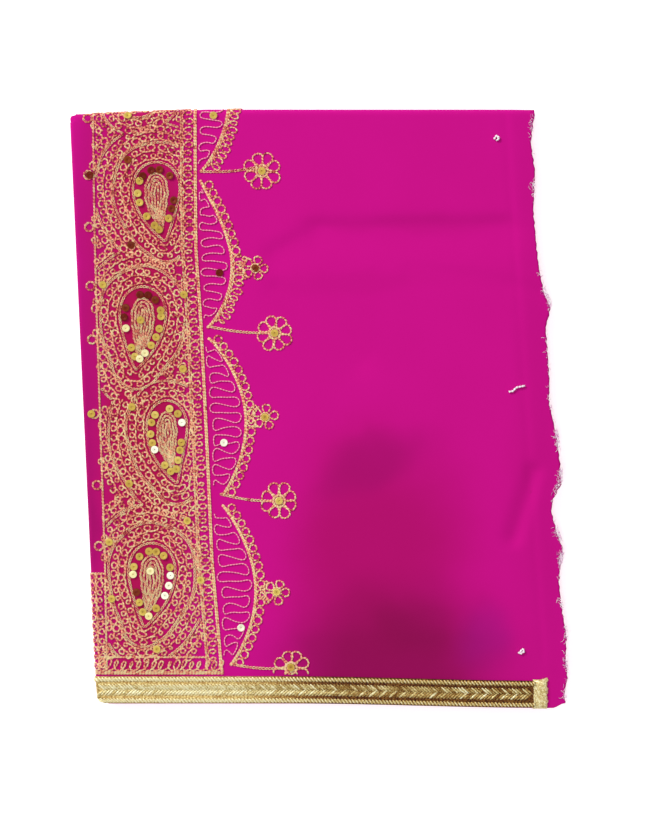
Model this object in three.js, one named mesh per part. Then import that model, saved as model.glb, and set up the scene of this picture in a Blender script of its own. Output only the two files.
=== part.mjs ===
// An embroidered shawl, folded flat into a packet and lying on a table.
// Millimetres. X runs across the packet to the right, Y up its length, Z up from the table.
// The origin is the middle of the packet's box, at table height.
// The shawl is 2.06 m long and 1.0 m wide. Its length is book-folded into 8 and its width
// is folded in 3, so 24 layers lie on each other, as three bundles of eight.

import * as THREE from 'three';

// Driving dimensions

const packet = {
  topFold: 166.5, // Y of the fold along the top
  hem: -164.3, // Y of the hem at the lower left
  hemDrop: 2.5, // how much lower the hem lies at the end of the lace
  leftFold: -131.3, // X of the left fold where Y is 0
  leftLean: 0.0464, // how far the left fold leans, in X for each Y
  rawEdge: 128.5, // X of the raw edge's straight line where Y is 0
  rawLean: 0.0538,
  height: 10, // from the table to the top of the front panel
};

const cloth = {
  wall: 1, // thickness of the front panel
  seam: 0.32, // space between one piece and the next
  leftNose: 1.9, // radius of the left fold: one bundle of eight layers
  topNose: 3.6, // radius of the top fold: it wraps two bundles
  lip: 0.55, // radius of a single free edge
  foot: 5.6, // plan radius of the lower left corner
  shoulder: 0.7, // how far the upper left corner is eased in
  topSag: 2.5, // how much lower the top fold lies at its left end
  topSagLength: 68,
};

const pressCrease = {
  inAtTop: 16.3, // distance in from the raw edge's line, at the top fold
  inAtHem: 11.3,
  depth: 0.45,
  width: 2.2,
  marginFall: 1.1, // the margin beyond the crease lies this much lower at the raw edge
  marginShare: 0.06, // the margin's share of the packet's width
};

// How far the raw edge strays from its straight line, by its distance down from the top fold
const rawEdgeWave = [
  { down: 0, out: 0.4 },
  { down: 5.8, out: -0.9 },
  { down: 15.8, out: -2.5 },
  { down: 31.4, out: -1 },
  { down: 53.4, out: -3.2 },
  { down: 63.1, out: -2.8 },
  { down: 73.1, out: -2.5 },
  { down: 85.3, out: -1.8 },
  { down: 100.9, out: 0.5 },
  { down: 107.6, out: 3.6 },
  { down: 118.7, out: 0.1 },
  { down: 131.5, out: 0.5 },
  { down: 149.3, out: 0.6 },
  { down: 160.4, out: -0.3 },
  { down: 178.8, out: 2.9 },
  { down: 198.2, out: 4.3 },
  { down: 206.6, out: 4.1 },
  { down: 215.5, out: -1.2 },
  { down: 222.1, out: -2.3 },
  { down: 234.9, out: 0.4 },
  { down: 243.8, out: 3.3 },
  { down: 253.3, out: 1.1 },
  { down: 262.2, out: -0.2 },
  { down: 275.5, out: 0.5 },
  { down: 293.3, out: 2.4 },
  { down: 306.6, out: 1.2 },
  { down: 316.1, out: 1.8 },
  { down: 325, out: -0.5 },
  { down: 330.8, out: -0.4 },
];

// Soft troughs in the open field of the front panel, each from one end to the other
const softTroughs = [
  { x1: 20, y1: 99, x2: 88, y2: 106, width: 9, depth: 0.5 },
  { x1: -6, y1: 92, x2: -11, y2: 46, width: 7, depth: 0.35 },
  { x1: 118, y1: -42, x2: 109, y2: -68, width: 7, depth: 0.6 },
  { x1: 8, y1: -8, x2: 92, y2: -110, width: 16, depth: 0.55 },
];

// Grid columns: a share of the field from the left fold to the press crease, then of the margin
const columns = [
  { field: 0, margin: 0 },
  { field: 0.016, margin: 0 },
  { field: 0.05, margin: 0 },
  { field: 0.15, margin: 0 },
  { field: 0.28, margin: 0 },
  { field: 0.4, margin: 0 },
  { field: 0.5, margin: 0 },
  { field: 0.58, margin: 0 },
  { field: 0.66, margin: 0 },
  { field: 0.74, margin: 0 },
  { field: 0.82, margin: 0 },
  { field: 0.9, margin: 0 },
  { field: 0.96, margin: 0 },
  { field: 0.988, margin: 0 },
  { field: 1, margin: 0 },
  { field: 1, margin: 0.22 },
  { field: 1, margin: 0.6 },
  { field: 1, margin: 1 },
];

// The hidden layers' side, ring by ring from the top. level is a share of their height.
// free, left and top are how far the ring lies inside the packet's outline on those sides.
const layerRings = [
  { level: 0.94, free: 0.8, left: 1.85, top: 2.9 },
  { level: 0.84, free: 0.9, left: 1.8, top: 2.7 },
  { level: 0.72, free: 1.5, left: 1.9, top: 2.7 },
  { level: 0.667, free: 2.2, left: 1.7, top: 2.7 },
  { level: 0.6, free: 1.1, left: 0.35, top: 2.7 },
  { level: 0.5, free: 0.7, left: 0.1, top: 2.7 },
  { level: 0.4, free: 1.2, left: 0.3, top: 2.7 },
  { level: 0.333, free: 2.1, left: 1.3, top: 2.1 },
  { level: 0.26, free: 1, left: 0.5, top: 0.7 },
  { level: 0.16, free: 0.5, left: 0.2, top: 0.3 },
  { level: 0.06, free: 0.8, left: 0.5, top: 0.5 },
  { level: 0, free: 1.6, left: 1.2, top: 1.2 },
];
const layerCap = { free: 1.2, left: 2.2, top: 3.9 };
const layerWobble = 0.35; // unevenness of the layers along the free sides

const lace = {
  width: 15,
  hemInset: 0.2, // the lace's lower edge lies this far up from the hem
  end: 120.2, // X where the plaited part stops
  step: 2.5, // half the plait's pitch
  wrapSteps: [108, 80, 52, 26], // degrees round the left fold
  cornerReach: 26, // the rounded corner's slant dies out this far along the lace
};

// The lace's face: a share of its width, and its height over its own underside.
// plait is +1 where the height swings with the plait, and -1 where it swings the other way.
const laceFace = [
  { share: 0, raise: 0.4, plait: 0 },
  { share: 0.1, raise: 1.1, plait: 0 },
  { share: 0.21, raise: 0.5, plait: 0 },
  { share: 0.32, raise: 0.85, plait: 1 },
  { share: 0.5, raise: 0.85, plait: -1 },
  { share: 0.68, raise: 0.85, plait: 1 },
  { share: 0.79, raise: 0.5, plait: 0 },
  { share: 0.9, raise: 1.1, plait: 0 },
  { share: 1, raise: 0.4, plait: 0 },
];
const plaitSwing = 0.2;

const laceEnd = { start: 120.6, end: 126.8, thickness: 0.8, inset: 0.5 };

const thread = { cordWidth: 1.5, cordHeight: 0.8, ringWidth: 2.2, plateHeight: 0.8, chamfer: 0.25 };

// The embroidered band's long chain lines: X of each, by Y
const bandRails = [
  { y: 165.4, left: -125.7, inner: -76.9, outer: -68.9 },
  { y: 125, left: -125.2, inner: -76.7, outer: -68.8 },
  { y: 87.8, left: -124.5, inner: -76.2, outer: -68.4 },
  { y: 46.1, left: -123.4, inner: -73.4, outer: -65.6 },
  { y: -20.6, left: -121.2, inner: -70.1, outer: -62.3 },
  { y: -84.5, left: -119, inner: -67.3, outer: -59.5 },
  { y: -144.4, left: -117.9, inner: -61.9, outer: -54.1 },
];
const railSteps = 14;
const hemLine = { x1: -122.5, x2: -53, y: -147.2 };

// Teardrop medallions: centre, half width, half length and how far the tip leans in X
const medallions = [
  { x: -90, y: 115.7, halfWidth: 11.2, halfLength: 21, tipLean: 5.6 },
  { x: -98.4, y: 46.1, halfWidth: 12.2, halfLength: 21.6, tipLean: -3.9 },
  { x: -84.6, y: -17.8, halfWidth: 11.2, halfLength: 22, tipLean: 5.6 },
  { x: -92.9, y: -97.3, halfWidth: 12.5, halfLength: 22.4, tipLean: -5 },
];
const leafShare = { width: 0.4, length: 0.62 };
const teardropShape = { narrowing: 0.45, fullness: 1.12 };
const scallopFlatness = 0.8;
const petal = { inner: 0.62, roundness: 0.6, points: 6 };

// Scallop lines from one valley to the next, with the bulge of the arch between them
const scallops = [
  { x1: -68.9, y1: 212, x2: -66.2, y2: 131.2, bulge: 17.2 },
  { x1: -66.2, y1: 126.8, x2: -62.3, y2: 44.5, bulge: 14.5 },
  { x1: -61.7, y1: 38.9, x2: -53.9, y2: -48.4, bulge: 17 },
  { x1: -53.9, y1: -53.9, x2: -49.5, y2: -142.9, bulge: 16.4 },
];

// Flowers on stems at the valleys, and small flowers at the tops of the scallops
const flowers = [
  { name: 'rosette_1', x: -31.7, y: 131.8, petals: 8, radius: 10, stem: 18.7 },
  { name: 'rosette_2', x: -24.7, y: 41.7, petals: 8, radius: 9.6, stem: 20.9 },
  { name: 'rosette_3', x: -22.2, y: -51.7, petals: 8, radius: 10, stem: 17.3 },
  { name: 'rosette_4', x: -15.6, y: -144.6, petals: 8, radius: 9.6, stem: 17.3 },
  { name: 'apex_flower_1', x: -35.5, y: 77.8, petals: 4, radius: 7.2, stem: 0 },
  { name: 'apex_flower_2', x: -30, y: -5, petals: 4, radius: 7.4, stem: 0 },
  { name: 'apex_flower_3', x: -24.5, y: -102.9, petals: 4, radius: 7.2, stem: 0 },
];

const finishes = {
  cloth: new THREE.MeshStandardMaterial({ color: 0xc71586, roughness: 0.62, side: THREE.DoubleSide }),
  hiddenCloth: new THREE.MeshStandardMaterial({ color: 0xb01274, roughness: 0.68 }),
  lace: new THREE.MeshStandardMaterial({ color: 0xd9c27c, roughness: 0.35, metalness: 0.8 }),
  thread: new THREE.MeshStandardMaterial({ color: 0xd9a05b, roughness: 0.45, metalness: 0.4 }),
};

// Outline and height of the packet

const panelLength = packet.topFold - packet.hem;
const mix = (a, b, share) => a + (b - a) * share;
const ease = (low, high, value) => THREE.MathUtils.smoothstep(value, low, high);

function topFoldY(x) {
  const intoSag = Math.max(0, packet.leftFold + cloth.topSagLength - x) / cloth.topSagLength;
  return packet.topFold - cloth.topSag * intoSag;
}

function hemY(x) {
  const slope = ease(-20, 125, x) * packet.hemDrop;
  const curlUp = ease(127, 137, x) * packet.hemDrop;
  return packet.hem - slope + curlUp;
}

function leftFoldX(y) {
  const line = packet.leftFold - packet.leftLean * y;
  const intoFoot = cloth.foot - Math.min(cloth.foot, y - packet.hem);
  const footIn = cloth.foot - Math.sqrt(Math.max(0, cloth.foot ** 2 - intoFoot ** 2));
  return line + footIn;
}

const rawLineX = (y) => packet.rawEdge - packet.rawLean * y;
const creaseIn = (down) => mix(pressCrease.inAtTop, pressCrease.inAtHem, down / panelLength);

function rawWave(down) {
  const next = rawEdgeWave.findIndex((row) => row.down >= down);
  if (next <= 0) {
    return rawEdgeWave[next === 0 ? 0 : rawEdgeWave.length - 1].out;
  }
  const above = rawEdgeWave[next - 1];
  const below = rawEdgeWave[next];
  return mix(above.out, below.out, (down - above.down) / (below.down - above.down));
}

// A plan point by its column and its distance down from the top fold
function planPoint(column, down) {
  const nominalY = packet.topFold - down;
  const share = mix(column.field, column.margin, pressCrease.marginShare);
  const nominalX = mix(leftFoldX(nominalY), rawLineX(nominalY), share);
  const y = mix(topFoldY(nominalX), hemY(nominalX), down / panelLength);
  const left = leftFoldX(y);
  const crease = rawLineX(y) - creaseIn(down);
  const raw = rawLineX(y) + rawWave(down);
  const x = mix(left, crease, column.field) + (raw - crease) * column.margin;
  return new THREE.Vector2(x, y);
}

function troughDepth(trough, x, y) {
  const start = new THREE.Vector2(trough.x1, trough.y1);
  const along = new THREE.Vector2(trough.x2, trough.y2).sub(start);
  const from = new THREE.Vector2(x, y).sub(start);
  const share = THREE.MathUtils.clamp(from.dot(along) / along.lengthSq(), 0, 1);
  const away = from.sub(along.multiplyScalar(share)).length();
  return trough.depth * Math.exp(-((away / trough.width) ** 2));
}

// Height of the front panel's face, away from the folds' rounding
function faceZ(x, y) {
  const down = packet.topFold - y;
  const pastCrease = x - (rawLineX(y) - creaseIn(down));
  const clearOfLace = ease(lace.width + 1, lace.width + 14, y - packet.hem);
  const groove = pressCrease.depth * clearOfLace * Math.exp(-((pastCrease / pressCrease.width) ** 2));
  const fall = pressCrease.marginFall * ease(0, 18, pastCrease);
  const troughs = softTroughs.reduce((sum, trough) => sum + troughDepth(trough, x, y), 0);
  return packet.height - groove - fall - troughs * clearOfLace;
}

// Height with the top fold's rounding
function coverZ(x, y) {
  const intoNose = Math.max(0, y - (topFoldY(x) - cloth.topNose));
  const reach = Math.min(intoNose, cloth.topNose * 0.995);
  return faceZ(x, y) - cloth.topNose + Math.sqrt(cloth.topNose ** 2 - reach ** 2);
}

// A point of the front panel's face, moved out along its normal
function lifted(x, y, raise) {
  const step = 0.05;
  const slopeX = (coverZ(x + step, y) - coverZ(x - step, y)) / (2 * step);
  const slopeY = (coverZ(x, y + step) - coverZ(x, y - step)) / (2 * step);
  const normal = new THREE.Vector3(-slopeX, -slopeY, 1).normalize();
  return new THREE.Vector3(x, y, coverZ(x, y)).addScaledVector(normal, raise);
}

// Mesh building

function meshFrom(name, points, triangles, material) {
  const geometry = new THREE.BufferGeometry();
  const numbers = points.flatMap((point) => [point.x, point.y, point.z]);
  geometry.setAttribute('position', new THREE.Float32BufferAttribute(numbers, 3));
  geometry.setIndex(triangles.flat());
  geometry.computeVertexNormals();
  const mesh = new THREE.Mesh(geometry, material);
  mesh.name = name;
  return mesh;
}

function joinRings(ringA, ringB) {
  return ringA.flatMap((corner, i) => {
    const next = (i + 1) % ringA.length;
    return [
      [corner, ringB[i], ringB[next]],
      [corner, ringB[next], ringA[next]],
    ];
  });
}

function gridTriangles(rows, width, offset, faceUp) {
  const triangles = [];
  for (let row = 0; row < rows - 1; row += 1) {
    for (let col = 0; col < width - 1; col += 1) {
      const corner = offset + row * width + col;
      const below = corner + width;
      const quad = [
        [corner, below, below + 1],
        [corner, below + 1, corner + 1],
      ];
      triangles.push(...(faceUp ? quad : quad.map((tri) => tri.slice().reverse())));
    }
  }
  return triangles;
}

// Grid rows: the raw edge's own rows, and two more inside the rounded lower left corner
const footRows = [panelLength - 3, panelLength - 1.2];
const downs = [...rawEdgeWave.map((row) => row.down), ...footRows].sort((a, b) => a - b);
downs[downs.length - 1] = panelLength;
const lastRow = downs.length - 1;
const lastColumn = columns.length - 1;

// The border of the grid, anticlockwise from the lower left corner, as grid places
function borderPlaces() {
  const places = [];
  for (let col = 0; col < lastColumn; col += 1) places.push({ row: lastRow, col });
  for (let row = lastRow; row > 0; row -= 1) places.push({ row, col: lastColumn });
  for (let col = lastColumn; col > 0; col -= 1) places.push({ row: 0, col });
  for (let row = 0; row < lastRow; row += 1) places.push({ row, col: 0 });
  return places;
}

// How far a border point belongs to the left fold and to the top fold; the rest is free edge
function sideShares(row, col, plan) {
  if (row === 0) {
    const atEnd = col === 0 || col === lastColumn;
    return { leftShare: col === 0 ? 0.5 : 0, topShare: atEnd ? 0.5 : 1 };
  }
  const pastFoot = ease(cloth.foot, cloth.foot + 24, plan.x - leftFoldX(packet.hem));
  return { leftShare: col === 0 ? 1 : 1 - pastFoot, topShare: 0 };
}

// Each border point with its outward direction and the sides it is on
function borderPoints() {
  const places = borderPlaces();
  const plans = places.map(({ row, col }) => planPoint(columns[col], downs[row]));
  const corner = places.findIndex(({ row, col }) => row === 0 && col === 0);
  plans[corner].add(new THREE.Vector2(cloth.shoulder, -cloth.shoulder));
  return places.map(({ row, col }, i) => {
    const before = plans[(i + plans.length - 1) % plans.length];
    const after = plans[(i + 1) % plans.length];
    const tangent = after.clone().sub(before).normalize();
    const outward = new THREE.Vector2(tangent.y, -tangent.x);
    const plan = plans[i];
    const shares = sideShares(row, col, plan);
    return { row, col, plan, outward, ...shares };
  });
}

const border = borderPoints();

const bySide = (point, free, left, top) => {
  const freeShare = 1 - point.leftShare - point.topShare;
  return free * freeShare + left * point.leftShare + top * point.topShare;
};

const moved = (point, inset) => point.plan.clone().addScaledVector(point.outward, -inset);

// Grid points with their border pulled in, at a height below the face
function insetGrid(insetOf, below) {
  const pulled = new Map(border.map((point) => [`${point.row},${point.col}`, point]));
  return downs.flatMap((down, row) => columns.map((column, col) => {
    const edge = pulled.get(`${row},${col}`);
    const plan = edge ? moved(edge, insetOf(edge)) : planPoint(column, down);
    return new THREE.Vector3(plan.x, plan.y, faceZ(plan.x, plan.y) - below);
  }));
}

const borderIndex = border.map(({ row, col }) => row * columns.length + col);

// A closed solid: a grid on top, rings round its side, then a grid or a flat cap below
function solidFromRings(name, topGrid, rings, bottomGrid, material) {
  const points = [...topGrid];
  const triangles = gridTriangles(downs.length, columns.length, 0, true);
  let previous = borderIndex;
  rings.forEach((ring) => {
    const current = ring.map((_, i) => points.length + i);
    points.push(...ring);
    triangles.push(...joinRings(previous, current));
    previous = current;
  });
  if (bottomGrid) {
    const offset = points.length;
    points.push(...bottomGrid);
    triangles.push(...joinRings(previous, borderIndex.map((index) => index + offset)));
    triangles.push(...gridTriangles(downs.length, columns.length, offset, false));
  } else {
    const outline = previous.map((index) => new THREE.Vector2(points[index].x, points[index].y));
    const cap = THREE.ShapeUtils.triangulateShape(outline, []);
    triangles.push(...cap.map(([a, b, c]) => [previous[a], previous[c], previous[b]]));
  }
  return meshFrom(name, points, triangles, material);
}

// Front panel: it rolls over the left and top folds and ends in a lip at its free edges

function edgeRadius(point) {
  return bySide(point, cloth.lip, cloth.leftNose, cloth.topNose);
}

function outerRing(degrees) {
  const turn = THREE.MathUtils.degToRad(degrees);
  return border.map((point) => {
    const radius = edgeRadius(point);
    const plan = moved(point, radius * (1 - Math.sin(turn)));
    const start = moved(point, radius);
    return new THREE.Vector3(plan.x, plan.y, faceZ(start.x, start.y) - radius * (1 - Math.cos(turn)));
  });
}

function innerRing(degrees) {
  const turn = THREE.MathUtils.degToRad(degrees);
  return border.map((point) => {
    const radius = edgeRadius(point);
    const inside = Math.max(radius - cloth.wall, 0);
    const slide = 0.001 * degrees;
    const plan = moved(point, radius - inside * Math.sin(turn) - slide);
    const start = moved(point, radius);
    const z = faceZ(start.x, start.y) - cloth.wall - inside * (1 - Math.cos(turn));
    return new THREE.Vector3(plan.x, plan.y, z);
  });
}

function frontPanel() {
  const turns = [30, 60, 90, 120, 150];
  const rings = [...turns.map(outerRing), ...turns.slice().reverse().map(innerRing)];
  const face = insetGrid(edgeRadius, 0);
  const back = insetGrid(edgeRadius, cloth.wall);
  return solidFromRings('front_panel', face, rings, back, finishes.cloth);
}

// Hidden layers: one rounded solid, with its three bundles showing round the side

function foldedLayers() {
  const below = cloth.wall + cloth.seam;
  const wobble = (ring, index) => layerWobble * Math.sin(index * 1.9 + Math.floor(ring / 4) * 2.3);
  const rings = layerRings.map((row, ringIndex) => border.map((point, i) => {
    const freeShare = 1 - point.leftShare - point.topShare;
    const inset = bySide(point, row.free, row.left, row.top) + freeShare * wobble(ringIndex, i);
    const plan = moved(point, inset);
    return new THREE.Vector3(plan.x, plan.y, row.level * (faceZ(plan.x, plan.y) - below));
  }));
  const top = insetGrid((point) => bySide(point, layerCap.free, layerCap.left, layerCap.top), below);
  return solidFromRings('folded_layers', top, rings, null, finishes.hiddenCloth);
}

// Gold lace: its profile is carried along the hem and round the left fold

function lacePoint(inFromFold, turn, share, raise) {
  const hemHere = hemY(packet.leftFold + inFromFold) + lace.hemInset;
  const y = hemHere + share * lace.width;
  const straightLeft = packet.leftFold - packet.leftLean * (packet.hem + lace.width);
  const cornerFade = 1 - ease(0, lace.cornerReach, inFromFold);
  const left = mix(straightLeft, leftFoldX(y), cornerFade);
  const out = cloth.seam + raise;
  if (turn === 0) {
    const x = left + inFromFold;
    return new THREE.Vector3(x, y, faceZ(x, y) + out);
  }
  const radius = cloth.leftNose;
  const reach = radius + out;
  return new THREE.Vector3(
    left + radius - reach * Math.sin(turn),
    y,
    packet.height - radius + reach * Math.cos(turn),
  );
}

function laceSection(inFromFold, turn, plaitPhase) {
  const swing = plaitSwing * Math.cos(plaitPhase * Math.PI);
  const face = laceFace.map((row) => lacePoint(inFromFold, turn, row.share, row.raise + row.plait * swing));
  const back = laceFace.map((row) => lacePoint(inFromFold, turn, row.share, 0));
  return [...face, ...back.reverse()];
}

function goldLace() {
  const straightLeft = packet.leftFold - packet.leftLean * (packet.hem + lace.width);
  const length = lace.end - straightLeft - cloth.leftNose;
  const steps = Math.round(length / lace.step);
  const wrap = lace.wrapSteps.map((degrees, i) => (
    laceSection(cloth.leftNose, THREE.MathUtils.degToRad(degrees), i)
  ));
  const flat = Array.from({ length: steps + 1 }, (_, i) => (
    laceSection(cloth.leftNose + (length * i) / steps, 0, i)
  ));
  return sweptSolid('gold_lace', [...wrap, ...flat], false, finishes.lace);
}

// A closed solid through sections of equal point count, capped when it has two ends.
// A section runs anticlockwise as seen looking along the path: its face from right to left,
// then as many points of its back from left to right, so that a cap is a ladder between them.
function sweptSolid(name, sections, loop, material) {
  const size = sections[0].length;
  const ringOf = (index) => Array.from({ length: size }, (_, i) => index * size + i);
  const count = sections.length;
  const triangles = [];
  for (let index = 0; index < (loop ? count : count - 1); index += 1) {
    triangles.push(...joinRings(ringOf(index), ringOf((index + 1) % count)));
  }
  if (!loop) {
    const last = (count - 1) * size;
    for (let i = 0; i < size / 2 - 1; i += 1) {
      const rung = [
        [i, i + 1, size - 2 - i],
        [i, size - 2 - i, size - 1 - i],
      ];
      triangles.push(...rung, ...rung.map(([a, b, c]) => [last + c, last + b, last + a]));
    }
  }
  return meshFrom(name, sections.flat(), triangles, material);
}

// A low cord along a plan path on the front panel's face
function cordOnFace(name, path, width, height, loop) {
  const profile = [
    { side: width * 0.28, raise: height },
    { side: width * -0.28, raise: height },
    { side: width * -0.5, raise: 0 },
    { side: width * 0.5, raise: 0 },
  ];
  const sections = path.map((point, i) => {
    const before = path[loop ? (i + path.length - 1) % path.length : Math.max(i - 1, 0)];
    const after = path[loop ? (i + 1) % path.length : Math.min(i + 1, path.length - 1)];
    const tangent = after.clone().sub(before).normalize();
    const right = new THREE.Vector2(tangent.y, -tangent.x);
    return profile.map((corner) => {
      const plan = point.clone().addScaledVector(right, corner.side);
      return lifted(plan.x, plan.y, cloth.seam + corner.raise);
    });
  });
  return sweptSolid(name, sections, loop, finishes.thread);
}

function bandRail(side) {
  const knots = bandRails.map((row) => new THREE.Vector3(row[side], row.y, 0));
  const curve = new THREE.CatmullRomCurve3(knots);
  const path = curve.getSpacedPoints(railSteps).map((point) => new THREE.Vector2(point.x, point.y));
  const overFold = [1.4, 3, 5.4].map((down) => new THREE.Vector2(path[0].x, path[0].y - down));
  path.splice(1, 0, ...overFold);
  return cordOnFace(`band_rail_${side}`, path, thread.cordWidth, thread.cordHeight, false);
}

function bandHemLine() {
  const path = Array.from({ length: 6 }, (_, i) => (
    new THREE.Vector2(mix(hemLine.x1, hemLine.x2, i / 5), hemLine.y)
  ));
  return cordOnFace('band_hem_line', path, thread.cordWidth, thread.cordHeight, false);
}

// A scallop: a straight line between valleys, bulged to the right by a flattened half sine
function scallopLine(row, index) {
  const steps = 18;
  const path = [];
  for (let i = 0; i <= steps; i += 1) {
    const share = i / steps;
    const bulge = row.bulge * Math.sin(Math.PI * share) ** scallopFlatness;
    const point = new THREE.Vector2(mix(row.x1, row.x2, share) + bulge, mix(row.y1, row.y2, share));
    if (point.y < topFoldY(point.x) - 1.2) path.push(point);
  }
  return cordOnFace(`scallop_line_${index + 1}`, path, thread.cordWidth, thread.cordHeight, false);
}

// A teardrop: an oval that narrows to its lower tip, with the tip bent to one side
function teardrop(row, widthShare, lengthShare, steps) {
  return Array.from({ length: steps }, (_, i) => {
    const turn = (2 * Math.PI * (i + 0.5)) / steps;
    const up = -Math.cos(turn);
    const narrowing = Math.abs(Math.sin(turn / 2)) ** teardropShape.narrowing;
    const lean = row.tipLean * Math.max(0, -up) ** 2;
    const across = row.halfWidth * widthShare * Math.sin(turn) * narrowing * teardropShape.fullness;
    const y = row.y + row.halfLength * lengthShare * up;
    return new THREE.Vector2(row.x + across + lean * lengthShare, y);
  });
}

function medallionRing(row, index) {
  const path = teardrop(row, 1, 1, 24);
  return cordOnFace(`medallion_ring_${index + 1}`, path, thread.ringWidth, thread.cordHeight, true);
}

// A low plate on the face: its outline is carried up, and drawn in at its top edge
function facePlate(name, outline, centre) {
  const levels = [
    { raise: 0, keep: 1 },
    { raise: thread.plateHeight - thread.chamfer, keep: 1 },
    { raise: thread.plateHeight, keep: 0.94 },
  ];
  const rings = levels.map((level) => outline.map((point) => {
    const plan = point.clone().sub(centre).multiplyScalar(level.keep).add(centre);
    return lifted(plan.x, plan.y, cloth.seam + level.raise);
  }));
  const size = outline.length;
  const ringOf = (level) => outline.map((_, i) => level * size + i);
  const cap = THREE.ShapeUtils.triangulateShape(outline.slice(), []);
  const triangles = [
    ...joinRings(ringOf(1), ringOf(0)),
    ...joinRings(ringOf(2), ringOf(1)),
    ...cap.map(([a, b, c]) => [c, b, a]),
    ...cap.map((corners) => corners.map((corner) => corner + 2 * size)),
  ];
  return meshFrom(name, rings.flat(), triangles, finishes.thread);
}

function medallionLeaf(row, index) {
  const outline = teardrop(row, leafShare.width, leafShare.length, 18);
  return facePlate(`medallion_leaf_${index + 1}`, outline, new THREE.Vector2(row.x, row.y));
}

// A flower: round lobes about a centre, and a stem to the left joined into its outline
function flower(row) {
  const count = row.petals * petal.points;
  const lowest = hemY(row.x) + lace.hemInset + lace.width + 2 * cloth.seam;
  const outline = [];
  for (let i = 0; i <= count; i += 1) {
    const turn = -Math.PI + (2 * Math.PI * i) / count;
    const lobe = Math.abs(Math.sin((turn * row.petals) / 2));
    const radius = row.radius * mix(petal.inner, 1, lobe ** petal.roundness);
    outline.push(new THREE.Vector2(row.x + radius * Math.cos(turn), row.y + radius * Math.sin(turn)));
  }
  outline.pop();
  if (row.stem > 0) {
    const half = thread.cordWidth / 2;
    const tip = row.x - row.radius - row.stem;
    outline[0] = new THREE.Vector2(tip, row.y - half);
    outline.push(new THREE.Vector2(outline[count - 1].x, row.y + half));
    outline.push(new THREE.Vector2(tip, row.y + half));
    outline.splice(1, 0, new THREE.Vector2(outline[1].x, row.y - half));
  }
  const aboveLace = outline.filter((point) => point.y >= lowest);
  return facePlate(row.name, aboveLace, new THREE.Vector2(row.x, row.y));
}

function laceTurnedEnd() {
  const outline = [
    new THREE.Vector2(laceEnd.start, hemY(laceEnd.start) + laceEnd.inset),
    new THREE.Vector2(laceEnd.end, hemY(laceEnd.end) + laceEnd.inset),
    new THREE.Vector2(laceEnd.end, hemY(laceEnd.end) + lace.width),
    new THREE.Vector2(laceEnd.start, hemY(laceEnd.start) + lace.width),
  ];
  const geometry = new THREE.ExtrudeGeometry(new THREE.Shape(outline), {
    depth: laceEnd.thickness,
    bevelEnabled: false,
  });
  const mesh = new THREE.Mesh(geometry, finishes.lace);
  mesh.position.z = packet.height + cloth.seam;
  mesh.name = 'gold_lace_end';
  return mesh;
}

const clothPieces = new THREE.Group();
clothPieces.add(foldedLayers(), frontPanel());

const lacePieces = new THREE.Group();
lacePieces.add(goldLace(), laceTurnedEnd());

const embroidery = new THREE.Group();
embroidery.add(...['left', 'inner', 'outer'].map(bandRail), bandHemLine());
embroidery.add(...scallops.map(scallopLine));
embroidery.add(...medallions.map(medallionRing), ...medallions.map(medallionLeaf));
embroidery.add(...flowers.map(flower));

const shawl = new THREE.Group();
shawl.add(clothPieces, lacePieces, embroidery);

export default shawl;
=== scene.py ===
# %% [markdown]
# # A folded embroidered shawl
# A light magenta shawl lies folded in a flat packet. A band of gold chain stitch runs up its left fold, a
# plaited gold lace is sewn along the hem, and the raw edge on the right is frayed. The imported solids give
# every piece its place and size, and each step here lays a finer piece over one of them. All the design's
# numbers are millimetres, because a maker measures cloth that way. One function turns them to metres when a
# mesh is made.

# %% Load the frame
import math

import bpy
import numpy as np
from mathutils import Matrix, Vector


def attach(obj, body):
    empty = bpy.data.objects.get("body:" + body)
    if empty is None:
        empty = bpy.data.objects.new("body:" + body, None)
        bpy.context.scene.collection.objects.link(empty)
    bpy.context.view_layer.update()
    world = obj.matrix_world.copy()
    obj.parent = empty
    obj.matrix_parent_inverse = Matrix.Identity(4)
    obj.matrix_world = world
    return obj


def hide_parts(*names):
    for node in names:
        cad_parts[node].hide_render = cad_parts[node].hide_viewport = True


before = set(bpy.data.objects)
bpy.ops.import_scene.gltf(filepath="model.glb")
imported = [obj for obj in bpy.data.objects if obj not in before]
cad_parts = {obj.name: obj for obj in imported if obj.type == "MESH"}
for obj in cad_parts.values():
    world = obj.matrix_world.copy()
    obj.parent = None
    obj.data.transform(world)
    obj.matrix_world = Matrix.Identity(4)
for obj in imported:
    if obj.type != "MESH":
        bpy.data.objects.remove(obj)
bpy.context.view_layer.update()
print("solids", sorted(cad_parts))

# %% [markdown]
# ## Helpers for meshes and materials
# A mesh can be made from primitives, from modifiers or from plain arrays of points. Arrays are used here,
# because every shape of this shawl is a formula over a grid or along a path, and numpy works out a whole
# grid at once.

# %% Mesh helpers
MM = 0.001
rng = np.random.default_rng(7)


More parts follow.
